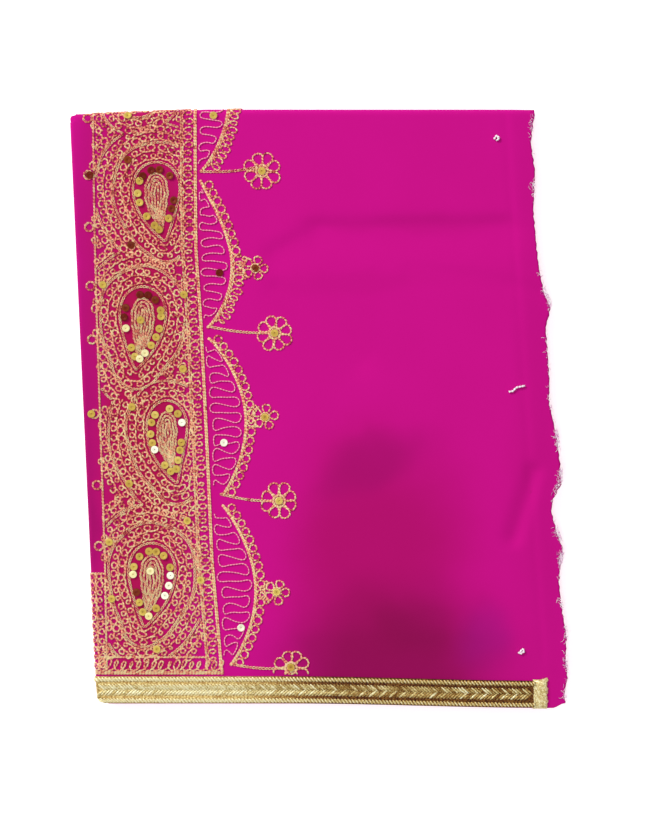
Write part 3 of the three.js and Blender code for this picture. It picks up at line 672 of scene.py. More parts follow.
def cursive(path, pitch, width, height, side=1, skew=0.0):
    """A row of loops like a written e along a path: forward s + swing sin t, sideways height (1 - cos t) /
    2. The swing is half a loop's width and a little more, because the path goes on while the loop turns
    back. Each loop has its own size and strays a little along the row, as hand-guided loops do."""
    path = resample(np.asarray(path, float), PATH_STEP)
    run = measure(path)
    loops = max(1, round(run[-1] / pitch))
    turn = np.linspace(0, loops * 2 * math.pi, loops * LOOP_POINTS + 1)
    advance = run[-1] / loops / (2 * math.pi)
    knots = np.arange(loops + 1) * 2 * math.pi
    size = np.interp(turn, knots, rng.uniform(*LOOP_SIZES, loops + 1))
    stray = np.interp(turn, knots, rng.normal(0, LOOP_STRAY * pitch, loops + 1))
    sideways = height * size * (1 - np.cos(turn)) / 2
    swing = (width / 2 + TURN_BACK * advance) * size
    forward = advance * turn + stray + swing * np.sin(turn) + skew * sideways
    held = np.clip(forward, 0, run[-1])
    heading = unit(np.gradient(path, axis=0))
    ahead = at(heading, run, held)
    base = at(path, run, held) + ahead * (forward - held)[:, None]
    return base + np.stack([-ahead[:, 1], ahead[:, 0]], -1) * (sideways * side)[:, None]


def ring_path(x, y, radius, start=0.0):
    """A circle from a starting angle round to itself."""
    turn = np.linspace(0, 2 * math.pi, 33) + start
    return np.stack([x + radius * np.cos(turn), y + radius * np.sin(turn)], -1)


# %% [markdown]
# ## Gold thread
# Zari is a flat metallic strip wound round a pink core, so a worked line glints yellow where the strip
# faces the light and shows pink and brown between. An image could paint that, but a shade kept at each
# point is lighter: it picks the colour of each part of a loop and so paints its glint and shade, and a fine
# noise stands for the winding and paints its small glints.

# %% Material: gold thread
def ramp_of(tree, factor, stops):
    """A colour ramp through stops of position and hex colour, fed by a factor; returns its colour
    socket."""
    ramp = node(tree, "ShaderNodeValToRGB", sockets={"Fac": factor})
    elements = ramp.color_ramp.elements
    elements[0].position, elements[0].color = stops[0][0], linear(stops[0][1])
    elements[1].position, elements[1].color = stops[-1][0], linear(stops[-1][1])
    for position, colour in stops[1:-1]:
        elements.new(position).color = linear(colour)
    return ramp.outputs["Color"]


def thread_material(name, shader_values, stops, grain, grain_share):
    """A thread or braid whose colour comes from its shade attribute mixed with a fine grain, which also
    bumps it."""
    material, tree, shader = new_material(name, shader_values)
    place = node(tree, "ShaderNodeTexCoord").outputs["Object"]
    shade = node(tree, "ShaderNodeAttribute", {"attribute_name": "shade"}).outputs["Fac"]
    # the grain is the winding's texture, and in the colour it also paints small glints and dark specks
    glint = node(tree, "ShaderNodeTexNoise", sockets={"Vector": place, "Scale": grain, "Detail": 1.0})
    sharp = node(tree, "ShaderNodeMapRange", sockets={
        "Value": glint.outputs["Fac"], "From Min": 0.3, "From Max": 0.7,
    })
    mixed = node(tree, "ShaderNodeMix", {"data_type": "FLOAT"}, {
        "Factor": grain_share, "A": shade, "B": sharp.outputs["Result"],
    })
    tree.links.new(ramp_of(tree, mixed.outputs["Result"], stops), shader.inputs["Base Color"])
    bump = node(tree, "ShaderNodeBump", sockets={
        "Height": glint.outputs["Fac"], "Strength": 0.3, "Distance": 0.0001,
    })
    tree.links.new(bump.outputs["Normal"], shader.inputs["Normal"])
    return material


ZARI_STOPS = [(0.1, "#921C26"), (0.3, "#D85C50"), (0.5, "#FF9C82"), (0.68, "#FFC298"), (0.85, "#FFE9B2")]
ZARI_GRAIN, GRAIN_SHARE = 900.0, 0.2  # the winding is about 0.3 mm; drawn at 1.1 mm so that it shows
zari = thread_material("zari_wound_thread", {"Roughness": 0.36}, ZARI_STOPS, ZARI_GRAIN, GRAIN_SHARE)

# %% [markdown]
# ## The band's long lines
# Four chain lines run the whole length of the cloth: one beside the left fold, and the three on the right
# that carry a ladder of loops between them. They run over the top fold as the real ones do, and stop at the
# lace.

# %% Rails and ladder
OVER_TOP = 5.6  # how far past the top fold's line the stitches run, in flat cloth
ABOVE_LACE = HEM + LACE_WIDTH + 1.2
RAIL_Y = [171, 165.4, 125, 87.8, 46.1, -20.6, -84.5, -150]
RAIL_LEFT = [-125.8, -125.7, -125.2, -124.5, -123.4, -121.2, -119, -117.9]
RAIL_INNER = [-77, -76.9, -76.7, -76.2, -73.4, -70.1, -67.3, -61.6]
RAIL_OUTER = [-69, -68.9, -68.8, -68.4, -65.6, -62.3, -59.5, -53.8]
RUNG_PITCH, RUNG_WIDTH, RUNG_HEIGHT = 4.3, 3.1, 5.4
RAIL_FROM, LADDER_FROM, LADDER_SHORT = 2.5, 6, 2  # the ladder starts higher and stops lower than the rails
LADDER_ASIDE = [0.9, 0]


def rail_x(xs, y):
    """X of a rail at a height, straight between the table's places."""
    return np.interp(y, RAIL_Y[::-1], xs[::-1])


def rail(xs, low=ABOVE_LACE + RAIL_FROM, high=TOP_FOLD + OVER_TOP, step=0.8):
    """A rail's path from the hem up."""
    y = np.arange(low, high, step)
    return np.stack([rail_x(xs, y), y], -1)


def stitched(name, parts, *nodes):
    """A piece of zari stitches that replaces the named nodes."""
    return new_piece(f"stitched_{name}", parts, zari, nodes)


stitched("rail_left", [chain(rail(RAIL_LEFT), shade=0.72)], "band_rail_left")
ladder_path = rail(RAIL_INNER, ABOVE_LACE + LADDER_FROM, TOP_FOLD + OVER_TOP - LADDER_SHORT) + LADDER_ASIDE
ladder = cursive(ladder_path, RUNG_PITCH, RUNG_WIDTH, RUNG_HEIGHT, side=-1)
stitched("rail_inner", [chain(rail(RAIL_INNER), shade=0.6), chain(ladder, width=NARROW)], "band_rail_inner")
stitched("rail_outer", double_chain(rail(RAIL_OUTER), gap=0.85, shade=0.72), "band_rail_outer")

# %% [markdown]
# ## Medallions
# Each medallion is a teardrop: a chain outline, a ring of bare cloth where the sequins lie, and a leaf of
# smaller teardrops one inside the other. The teardrop is a circle whose sides draw in towards the tip, and
# the tip is drawn out and leans.

# %% Medallions
MEDALLIONS = [  # centre x, y, half width, half length, lean of the tip
    (-90.4, 115.7, 13, 21, 4.8),
    (-98, 45.5, 12.8, 22, -3.9),
    (-84.6, -17.8, 11.2, 22, 5.6),
    (-92.9, -97.4, 13, 22.3, -4.2),
]
MEDALLION_BEYOND = (-97, 196.5, 12.2, 21.6, -3.9)  # the next one up, hidden past the top fold
TIP_STRETCH = 1.1
LEAF_ROWS = [1, 0.72, 0.44, 0.16]  # width of each row of the leaf as a share of the first
LEAF_WIDTH, LEAF_LENGTH = 0.47, 0.7  # shares of the medallion's
LEAF_SHORTEN = 0.45  # how much of its length a row loses with its width
LEAF_WAVE, LEAF_RIPPLE = 0.25, 0.9
SEQUIN_RING = (0.8, 0.8)


def teardrop(row, width_share=1.0, length_share=1.0, count=160):
    """A teardrop, clockwise from its round top: up = cos t, stretched below the middle, across = 1.26 half
    width sin t |cos(t/2)|^0.85, and the tip leans by the square of how far down it is."""
    x, y, half_width, half_length, lean = row
    turn = np.linspace(0, 2 * math.pi, count + 1)
    up = np.cos(turn)
    across = 1.26 * half_width * width_share * np.sin(turn) * np.abs(np.cos(turn / 2)) ** 0.85
    tip = lean * np.maximum(0, -up) ** 2 * length_share
    up = np.where(up < 0, up * TIP_STRETCH, up)
    return np.stack([x + across + tip, y + up * half_length * length_share], -1)


def leaf_row(row, share):
    """One row of the leaf: a teardrop narrower by a share and shorter by about half of that, with a slow
    wave."""
    path = teardrop(row, LEAF_WIDTH * share, LEAF_LENGTH * (1 - LEAF_SHORTEN + LEAF_SHORTEN * share))
    wave = LEAF_WAVE * np.sin(path[:, 1] * LEAF_RIPPLE + rng.uniform(0, 6))
    return path + np.stack([wave, np.zeros(len(path))], -1)


for number, row in enumerate(MEDALLIONS, 1):
    ring, leaf = f"medallion_ring_{number}", f"medallion_leaf_{number}"
    stitched(ring, [chain(teardrop(row), shade=0.66, width=1.3)], ring)
    stitched(leaf, [chain(leaf_row(row, share), shade=0.72, width=0.95) for share in LEAF_ROWS], leaf)

# %% [markdown]
# ## The ground between the medallions
# The ground is filled with rows of small loops that echo the medallions' shape, divided by chain lines.
# Drawing each row by hand would take hundreds of points. Here a row is the outline moved out by a distance,
# kept only where no other medallion is nearer and the band's rails leave room.

# %% Ground rows
LOOP_ROWS = [1.9, 6.3, 12.2, 16.5, 22.4, 26.7]  # distance of each row of loops from the outline
LINE_ROWS = [11.1, 21.3]  # distance of each dividing chain line
LOOP_PITCH, LOOP_WIDTH, LOOP_HEIGHT = 4.6, 3.4, 3.6
ROW_WANDER = 0.35
RAIL_GAP, LINE_GAP = 0.8, 1.2  # bare cloth left between a rail and the loops, and a rail and the lines
GROUND_FROM = 9.5  # the ground starts this far above the lace
NEIGHBOUR = 0.45  # how much of a row's own height it keeps from the next medallion's rows
OWN_SLACK = 0.8
LOOP_SHADES = (0.44, 0.6)
NORMAL_SMOOTHING = range(-9, 10)


def moved_out(path, distance):
    """A closed path moved outwards along its normals, which are averaged over a few neighbours so that the
    path fans round a sharp tip. The distance wanders a little, as a hand-guided row does."""
    step = unit(np.roll(path, -1, 0) - np.roll(path, 1, 0))
    normal = np.stack([-step[:, 1], step[:, 0]], -1)
    normal = unit(sum(np.roll(normal, shift, 0) for shift in NORMAL_SMOOTHING))
    angle = np.linspace(0, 2 * math.pi, len(path), endpoint=False)
    wander = ROW_WANDER * np.sin(7 * angle + rng.uniform(0, 6))
    return path + normal * (distance + wander)[:, None]


def nearest(points, others):
    """The distance from each point to the nearest of the others."""
    return np.sqrt(((points[:, None, :] - others[None, :, :]) ** 2).sum(-1)).min(1)


outlines = [teardrop(row, count=400)[:-1] for row in [MEDALLION_BEYOND, *MEDALLIONS]]


def ground_rows(number, distance, reach, margin):
    """The stretches of one medallion's outline moved out by a distance that lie in the band, clear of the
    rails by a margin, and no nearer to another medallion."""
    path = moved_out(outlines[number], distance)
    path = np.concatenate([path, path[:1]])
    others = np.concatenate([other for k, other in enumerate(outlines) if k != number])
    x, y = path.T
    keep = nearest(path, others) > distance + reach * NEIGHBOUR
    keep &= nearest(path, outlines[number]) > distance - OWN_SLACK
    keep &= (x > rail_x(RAIL_LEFT, y) + margin) & (x < rail_x(RAIL_INNER, y) - margin)
    keep &= (y < TOP_FOLD + OVER_TOP) & (y > ABOVE_LACE + GROUND_FROM)
    return [stretch for stretch in stretches(path, keep) if measure(stretch)[-1] > LOOP_PITCH]


for number in range(len(outlines)):
    ground = []
    for distance in LOOP_ROWS:
        for path in ground_rows(number, distance, LOOP_HEIGHT, RAIL_GAP):
            loops = cursive(path, LOOP_PITCH, LOOP_WIDTH, LOOP_HEIGHT)
            ground.append(chain(loops, rng.uniform(*LOOP_SHADES), width=NARROW))
    for distance in LINE_ROWS:
        for path in ground_rows(number, distance, 0.0, LINE_GAP):
            ground.append(chain(path, shade=0.66, width=1.2))
    stitched(f"ground_{number + 1}", ground)

# %% [markdown]
# ## Rows above the lace, and the picots
# Above the lace a chain line, a row of slanted loops and another chain line close the band. Single rings,
# called picots, stand outside the left rail, and low down the loops run on to the fold itself.

# %% Hem rows and picots
HEM_LINE_Y = -147.2
HEM_ROW_TOP = -138.5
PICOTS = [161.2, 129.5, 100.6, 67.8, 38.1, -3.3, -42.8, -76.7]  # Y of each
PICOT_RADIUS, PICOT_GAP = 2.35, 0.7
LEFT_OF_RAIL, RIGHT_OF_RAIL = 6.5, 1  # how far the hem's lines run on past the rails
SIDE_ROW_TOP = -92


def level_line(y, left, right):
    """A straight level path."""
    return np.array([[left, y], [right, y]], float)


hem_left = rail_x(RAIL_LEFT, HEM_LINE_Y) - LEFT_OF_RAIL
hem_right = rail_x(RAIL_OUTER, HEM_LINE_Y) + RIGHT_OF_RAIL
hem_line = level_line(HEM_LINE_Y, hem_left, hem_right)
stitched("hem_rows", [
    *double_chain(hem_line, gap=0.9, shade=0.55),
    chain(cursive(hem_line + [0, 1.2], pitch=4.3, width=2.4, height=6.2, skew=0.35), width=NARROW),
    chain(level_line(HEM_ROW_TOP, hem_left + 3, hem_right - 9), shade=0.6),
], "band_hem_line")

side_line = np.array([[-124.4, SIDE_ROW_TOP], [-122.2, -145]], float)
side_rows = [
    chain(cursive(side_line, pitch=4.4, width=3.4, height=3.6, side=-1), shade=0.42, width=NARROW),
    chain(cursive(side_line + [0.2, 0], pitch=4.4, width=3.4, height=3.4), shade=0.48, width=NARROW),
    chain(level_line(SIDE_ROW_TOP, -126.8, -118.4), shade=0.6),
]
picot_rings = [ring_path(rail_x(RAIL_LEFT, y) - PICOT_RADIUS - PICOT_GAP, y, PICOT_RADIUS) for y in PICOTS]
stitched("picots", [chain(ring, shade=0.55) for ring in picot_rings] + side_rows)

# %% [markdown]
# ## Scallops and meanders
# Outside the ladder the border breaks into scallops: a double chain arch from one valley to the next, a row
# of separate rings or long loops outside it, and a thin meander of plain thread inside. An arch could be a
# Bezier curve, but a sine over the line between two valleys needs only a bulge and a skew.

# %% Scallops
SCALLOPS = [  # one valley, the next valley, how far the arch bulges, and how much lower its top lies
    (-68.9, 212, -66.2, 131.2, 17.2, 1.0),
    (-66.2, 126.8, -62.3, 44.5, 15.5, 1.25),
    (-61.7, 38.9, -53.9, -48.4, 17, 1.0),
    (-53.9, -53.9, -49.5, -142.9, 16.4, 1.05),
]
RING_RADIUS, RING_PITCH, RING_OFFSET = 2.15, 5.0, 3.1
LONG_LOOPS = 2  # the lower halves of the first scallops have long loops in place of rings
EDGE_SHRINK = (0.9, 1.05)
VALLEY_GAP = 5  # a meander stays this far from both valleys
MEANDER_LEFT, MEANDER_RIGHT = 1.8, 1.6  # its distance from the rail and from the arch
MEANDER_LEAST = 3.5  # its right side stays at least this far from the rail
MEANDER_PITCH, SHORT_NECK, LONG_NECK = 4.3, 0.8, 1.9
PASS_POINTS = 16  # points of one pass across
PASS_FLAT = 0.7  # the power that holds a pass flat at its ends
PASS_WAVE, PASS_WAVE_TURN = 0.5, 2.6  # height of the slow wave, and its radians from the middle to an end
PASS_REACH, NECK_SIZES = (0.76, 1.0), (0.7, 1.25)
THIN_TWIST = 3.8  # turns of a thin thread's twist, in radians for each millimetre
# a thin thread swells at each turn of its twist, and a painted highlight brightens it there
TWIST_SWELL, TWIST_HIGHLIGHT = 0.25, 0.22


def arch(row, count=120):
    """The straight line between two valleys, pushed out by bulge sin(pi s ** skew) ** 0.8."""
    x1, y1, x2, y2, bulge, skew = row
    share = np.linspace(0, 1, count)
    along = np.stack([x1 + (x2 - x1) * share, y1 + (y2 - y1) * share], -1)
    out = unit(np.array([-(y2 - y1), x2 - x1], float))
    return along + out * (bulge * np.abs(np.sin(math.pi * share ** skew)) ** 0.8)[:, None]


# %% Thin thread and meander
def thin_thread(path, radius, step=0.5, sides=4, shade=0.5):
    """A plain thread laid along a path on the cloth: a round section of a few sides, closed at both ends,
    that swells at each turn of its twist, where a painted highlight brightens it."""
    path = resample(np.asarray(path, float), step)
    point, *_, out = on_cloth(path[:, 0], path[:, 1])
    heading = unit(np.gradient(point, axis=0))
    side = unit(np.cross(heading, out))
    turn = np.linspace(0, 2 * math.pi, sides, endpoint=False) + math.pi / 4
    bead = np.sin(measure(path) * THIN_TWIST)
    ring = section(point + out * radius * 1.1, side, out, turn, radius * (1 + TWIST_SWELL * bead))
    shades = np.repeat(shade + TWIST_HIGHLIGHT * bead, sides)
    return ring.reshape(-1, 3), capped_tube(len(path), sides, -1), np.clip(shades, 0, 1)


def meander(arch_x, arch_y, low, high, pitch, neck):
    """A hand-guided meander between the outer rail and an arch: across = sin t held flat at its ends, up =
    pitch t / pi + neck sin 2t, with passes of uneven reach and neck and a slow wave in each."""
    passes = round((high - low) / pitch)
    turn = np.linspace(0, passes * math.pi, passes * PASS_POINTS + 1)
    place = turn / math.pi
    knots = np.arange(passes + 1)
    swing = np.sin(turn - math.pi / 2)
    swing = np.sign(swing) * np.abs(swing) ** PASS_FLAT
    phase = np.interp(place, knots, rng.uniform(0, 6, passes + 1))
    wave = PASS_WAVE * np.sin(PASS_WAVE_TURN * swing + phase)
    swing = swing * np.interp(place, knots, rng.uniform(*PASS_REACH, passes + 1))
    neck = neck * np.interp(place, knots, rng.uniform(*NECK_SIZES, passes + 1))
    y = low + (high - low) * turn / turn[-1] + neck * np.sin(2 * turn) + wave
    left = rail_x(RAIL_OUTER, y) + MEANDER_LEFT
    right = np.maximum(np.interp(y, arch_y, arch_x) - MEANDER_RIGHT, rail_x(RAIL_OUTER, y) + MEANDER_LEAST)
    return np.stack([(left + right) / 2 + swing * (right - left) / 2, y], -1)


# %% The scallops
meanders = []
for number, row in enumerate(SCALLOPS, 1):
    path = arch(row)
    path = path[path[:, 1] < TOP_FOLD + OVER_TOP]
    arch_y, arch_x = path[::-1, 1], path[::-1, 0]
    lowest_ring = (row[1] + row[3]) / 2 if number <= LONG_LOOPS else row[3]
    centres = resample(beside(path, RING_OFFSET), RING_PITCH)[1:-1]
    edging = [
        chain(ring_path(x, y, RING_RADIUS * rng.uniform(*EDGE_SHRINK), math.pi), width=NARROW)
        for x, y in centres if lowest_ring < y < TOP_FOLD
    ]
    if number <= LONG_LOOPS:
        below = path[path[:, 1] < lowest_ring][:-6]
        edging.append(chain(cursive(beside(below, 1.0), pitch=3.5, width=2.8, height=6.0), width=NARROW))
    arch_lines = double_chain(path, gap=0.7, shade=0.68)
    stitched(f"scallop_{number}", arch_lines + edging, f"scallop_line_{number}")
    low = max(arch_y[0] + VALLEY_GAP, ABOVE_LACE + 3)
    high = min(arch_y[-1] - VALLEY_GAP, TOP_FOLD + OVER_TOP)
    neck = SHORT_NECK if number <= LONG_LOOPS else LONG_NECK
    lines = meander(arch_x, arch_y, low, high, MEANDER_PITCH, neck)
    meanders.append(thin_thread(lines, radius=0.36))

# %% Material: rayon thread
MEANDER_STOPS = [(0.15, "#B82C6C"), (0.5, "#FF8CB0"), (0.8, "#FFC4C0")]
RAYON_GRAIN = 700.0  # about 1.4 mm, coarser than the real fibres so that it shows
rayon = thread_material("rayon_core_thread", {"Roughness": 0.45}, MEANDER_STOPS, RAYON_GRAIN, GRAIN_SHARE)
new_piece("stitched_meanders", meanders, rayon)

# %% [markdown]
# ## Flowers
# A flower on a stem stands at each valley, and a smaller one at each arch's top. Both are loops of chain
# stitch round two small rings, so one formula for a petal makes them all, and each petal differs a little
# in length and angle, as petals worked by hand do.

# %% Sizes of the flowers
FLOWERS = [  # node, centre x, y, petals, radius, width of a petal, angle of the first petal
    ("rosette_1", -31.7, 131.8, 8, 10.3, 5.6, 0.35),
    ("rosette_2", -24.7, 41.7, 8, 10.0, 5.5, 0.3),
    ("rosette_3", -22.2, -51.7, 8, 10.2, 5.6, 0.4),
    ("rosette_4", -15.6, -144.6, 8, 9.9, 5.5, 0.35),
    ("apex_flower_1", -35.5, 77.8, 5, 6.9, 4.4, 0.0),
    ("apex_flower_2", -30, -5, 5, 7.1, 4.4, 0.15),
    ("apex_flower_3", -23.6, -102.2, 5, 6.9, 4.4, -0.1),
]
STEMS = [  # start x, y, and how much the stem rises at the flower
    (-66.2, 131.5, 2.2), (-62, 45.5, 0), (-55, -47.7, 0), (-49.5, -142.2, 0),
]
STEM_SHORT, STEM_SAG = 2, 1.2
MIDDLE_RINGS = (0.2, 0.33)  # radii of the rings in a flower's middle, as shares of its own
PETAL_INNER, PETAL_LENGTHS, PETAL_STRAY = 0.24, (0.93, 1.04), 0.04
PETAL_SWELL, PETAL_TAPER = 1.38, 0.6  # bring the widest place to the stated width and past the middle
# Where small loops join a flower to its arch, from the flower's middle
ARCH_SIDE = np.array([[-3.5, 5.5], [-6.5, 1.5], [-6.5, -1.5], [-3.5, -5.5]])


def petal_path(x, y, angle, inner, outer, width):
    """One petal: a loop from near the flower's middle, outwards and back, widest past its middle."""
    turn = np.linspace(0, 2 * math.pi, 29)
    out = 0.5 - 0.5 * np.cos(turn)
    along = inner + (outer - inner) * out
    across = width / 2 * np.sin(turn) * out ** PETAL_TAPER * PETAL_SWELL
    return np.stack([x + along * math.cos(angle) - across * math.sin(angle),
                     y + along * math.sin(angle) + across * math.cos(angle)], -1)


def stem_path(start_x, start_y, rise, x, y):
    """A straight line to just short of the flower's middle, sagging by a sine."""
    share = np.linspace(0, 1, 30)
    sag = STEM_SAG * np.sin(math.pi * share)
    return np.stack([
        start_x + (x - STEM_SHORT - start_x) * share, start_y + (y + rise - start_y) * share - sag,
    ], -1)


# %% The flowers
stems = iter(STEMS)
for node_name, x, y, petals, radius, width, first_angle in FLOWERS:
    turns = np.arange(petals) * 2 * math.pi / petals + first_angle + rng.normal(0, PETAL_STRAY, petals)
    inner = PETAL_INNER * radius
    paths = [petal_path(x, y, angle, inner, radius * rng.uniform(*PETAL_LENGTHS), width) for angle in turns]
    paths = [stretch for path in paths for stretch in stretches(path, path[:, 1] > ABOVE_LACE)]
    parts = [chain(path, shade=0.55, width=NARROW) for path in paths]
    parts += [chain(ring_path(x, y, share * radius), shade=0.8) for share in MIDDLE_RINGS]
    if node_name.startswith("rosette"):
        stem = stem_path(*next(stems), x, y)
        parts.append(chain(stem[stem[:, 1] > ABOVE_LACE], shade=0.66, width=1.3))
    else:
        loops = cursive(ARCH_SIDE + [x, y], pitch=3.4, width=2.4, height=2.6, side=-1)
        parts.append(chain(loops, width=NARROW))
    stitched(node_name, parts, node_name)

# %% [markdown]
# ## Sequins
# The sequins are small cupped discs of metallised film with a hole in the middle. They hold a bright or a
# dark reflection as they happen to tilt, so each has its own tilt and its own shade, which paints that
# reflection. A row of letters charts them round a medallion from its top clockwise: d dark, g gold, b bright,
# w nearly white, and a dot leaves one out.

# %% Places of the sequins
SEQUIN_RADIUS = 2.15
SEQUIN_RAISE, SEQUIN_TILT, SEQUIN_STRAY, SHADE_STRAY = 0.45, 0.07, 0.22, 0.04
SEQUIN_CHARTS = ["dd..ddg.ggg.gggdd", "ddgggggbbgg.bdd.d", "ggw.gggggg.wgggg.", "gggwww.gbggd.bggg"]
SEQUIN_SHADES = {"d": 0.04, "g": 0.42, "b": 0.72, "w": 1.0}
LOOSE_SEQUINS = [
    (-106.3, 162.4, "g"), (-106.3, 137.9, "d"), (-104.5, 90.6, "d"), (-58.7, 162.6, "g"), (-120.2, 68.4, "g"),
    (-75.1, 63.1, "g"), (-75.6, 21.7, "g"), (-104, 0.6, "g"), (-55.4, 75.1, "d"), (-105.6, -42, "g"),
    (-73.2, -62.6, "g"), (-52.9, -19.2, "w"), (-116.6, -74.5, "g"), (-65.8, -95.6, "g"), (-115.3, -106, "g"),
    (-90.1, -134, "g"), (-43.4, -122, "w"), (-99.1, 48.9, "g"), (-93.7, -90.6, "b"),
    (-127.4, 129.5, "d"), (-126.5, -3.3, "g"),
    (-31.7, 131.8, "g"), (-24.7, 41.7, "g"), (-22.2, -51.7, "g"), (-15.6, -144, "g"),
    (-35.5, 77.8, "d"), (-30, -5, "g"), (-23.6, -102.2, "g"),
]

# %% One sequin
# The closed profile from the hole out and back underneath: share of the radius, height, and added shade,
# which paints the rim lighter and the hole and underside darker
SEQUIN_PROFILE = np.array([
    (0.1, 0.36, -0.12), (0.16, 0.42, -0.04), (0.7, 0.46, 0), (0.9, 0.52, 0.04), (1.0, 0.48, 0.04),
    (0.74, 0.38, -0.1), (0.22, 0.3, -0.2),
])
SEQUIN_SIDES = 16


def sequin(x, y, letter):
    """A disc turned from the closed profile and tilted a little."""
    point, east, north, out = (part[0] for part in on_cloth(np.array([x], float), np.array([y], float)))
    tilt = rng.normal(0, SEQUIN_TILT, 2)
    normal = unit(out + east * tilt[0] + north * tilt[1])
    east = unit(east - normal * (east @ normal))
    north = np.cross(normal, east)
    turn = np.linspace(0, 2 * math.pi, SEQUIN_SIDES, endpoint=False)
    reach, height, tone = SEQUIN_PROFILE.T
    middle = point + normal * (height + SEQUIN_RAISE)[:, None]
    points = section(middle, east, north, turn, reach * SEQUIN_RADIUS)
    first = np.arange(SEQUIN_SIDES)
    last = (len(reach) - 1) * SEQUIN_SIDES + first
    shut = np.stack([last, np.roll(last, -1), np.roll(first, -1), first], -1)
    faces = np.concatenate([grid_faces(len(reach), SEQUIN_SIDES, closed=True), shut])[:, ::-1]
    shade = SEQUIN_SHADES[letter] + rng.normal(0, SHADE_STRAY) + np.repeat(tone, SEQUIN_SIDES)
    return points.reshape(-1, 3), faces, np.clip(shade, 0, 1)


# %% Material: metallised film
FILM_STOPS = [(0.0, "#6A1400"), (0.18, "#924410"), (0.42, "#D0B04C"), (0.66, "#F2E28C"), (1.0, "#FFFEE6")]


def sequin_material():
    """Metallised polyester film: a metal whose colour runs from a dark to a bright reflection by its
    shade."""
    material, tree, shader = new_material("metallised_film", {
        "Roughness": 0.34, "Metallic": 0.25, "Specular IOR Level": 0.25,
    })
    shade = node(tree, "ShaderNodeAttribute", {"attribute_name": "shade"}).outputs["Fac"]
    tree.links.new(ramp_of(tree, shade, FILM_STOPS), shader.inputs["Base Color"])
    return material


# %% The sequins
sequins = []
for row, chart in zip(MEDALLIONS, SEQUIN_CHARTS):
    ring = teardrop(row, *SEQUIN_RING)
    run = measure(ring)
    for k, letter in enumerate(chart):
        if letter != ".":
            place = (k + 0.5 + rng.uniform(-SEQUIN_STRAY, SEQUIN_STRAY)) / len(chart) * run[-1]
            sequins.append(sequin(*at(ring, run, place), letter))
sequins += [sequin(*row) for row in LOOSE_SEQUINS]
new_piece("sequins", sequins, sequin_material())

# %% [markdown]
# ## The plaited lace
# The lace is a woven metallic braid: a flat base, a twisted cord along each edge, and a herringbone
# plait between them, so that the base shows as a groove on each side of the plait. The base is drawn dark
# to paint the shade in these grooves, and a painted glare brightens the lace's left end. It lies along the
# hem and turns round the left fold, and its other end is folded back on itself.

# %% Sizes of the lace
LACE_INSET = 0.2
LACE_END = 120.2
LACE_LIFT = 0.12
LACE_WRAP = math.radians(108)
LACE_STRAIGHT = LEFT_FOLD - LEFT_LEAN * (HEM + LACE_WIDTH)
LACE_LENGTH = LACE_END - LACE_STRAIGHT
LACE_START = LEFT_NOSE * (1 - LACE_WRAP)
# the base is drawn dark to paint the shade in the grooves beside the plait
GROOVE_SHADE, CORD_SHADE, BRIGHT_BAR, DULL_BAR = 0.1, 0.62, 0.8, 0.52
GLARE_FADE_FROM, GLARE_FADE_TO = 70, 160  # painted glare along the lace: bright up to the first, darker past the next
# how much the painted glare lifts the shade at the left, and lowers it at the right
GLARE_LIFT, GLARE_DIM = 0.45, 0.25
LACE_CORNER = 26  # along this length the lace takes up the curve of the fold's foot
PRESSED_SHARE = 0.6  # how much flatter the lace lies at the end of its wrap
CORD_AT = (1.65, 13.35)
STRAND_ACROSS, STRAND_TALL = 0.7, 0.45
CORD_TWIST, CORD_STEP, CORD_RAISE, CORD_SWING = 3.8, 0.42, 1.0, 0.3
CORD_LIGHT, SIDE_LIGHT = 0.38, 0.1  # painted light: how much a strand brightens as it comes up, and on its upper side
PLAIT_PITCH, PLAIT_FROM, BAR_RUN = 1.87, 0.6, 4.0
BAR_REACH, BAR_CROSS = 3.15, 3.3  # where a bar starts from the middle line, and how far across it goes
BAR_THICK, BAR_RAISE, BAR_ARCH, BAR_FLAT = 0.62, 0.5, 0.28, 0.6
BAR_ALONG, BAR_ASIDE = 0.62, 0.79  # the direction across a bar
# painted light: a bar is lighter on its upper side by the first; the second is chance
BAR_LIGHT, BAR_SPREAD = 0.2, 0.13
BAR_ENDS, BAR_BLUNT = (0.06, 0.94), 0.4  # a bar is cut short at both ends, and how bluntly it narrows there
BAR_PLACES, BAR_SIDES, CORD_SIDES, WRAP_STEPS = 9, 6, 7, 10
BRIGHT_EVERY = 3
# The woven base's closed section: place across, height
STRIP_PROFILE = np.array([
    (0, 0.05), (0.15, 0.35), (3, 0.4), (12, 0.4), (14.85, 0.35), (15, 0.05), (12, 0), (3, 0),
])
STRIP_STEP = 1.25
print("lace", LACE_LENGTH, "mm long and", LACE_WIDTH, "mm wide")


# %% A point on the lace
def on_lace(along, across, raise_by):
    """A point on the lace: along from the left fold's outermost line, across up from the hem, and raised
    off the cloth. Short of the fold's nose it turns round the fold, pressed flatter there."""
    corner = 1 - ease(0, LACE_CORNER, along)
    y = hem_y(LACE_STRAIGHT + np.maximum(along, 0)) + LACE_INSET + across
    left = LACE_STRAIGHT + (left_fold_x(y) - LACE_STRAIGHT) * corner
    turn = np.clip((LEFT_NOSE - along) / LEFT_NOSE, 0, LACE_WRAP)
    x = left + np.maximum(along, LEFT_NOSE)
    out = np.stack([-np.sin(turn), np.zeros_like(x), np.cos(turn)], -1)
    reach = LEFT_NOSE + LACE_LIFT + raise_by * (1 - PRESSED_SHARE * turn / LACE_WRAP)
    return np.stack([x, y, face_z(x, y) - LEFT_NOSE], -1) + out * reach[..., None]


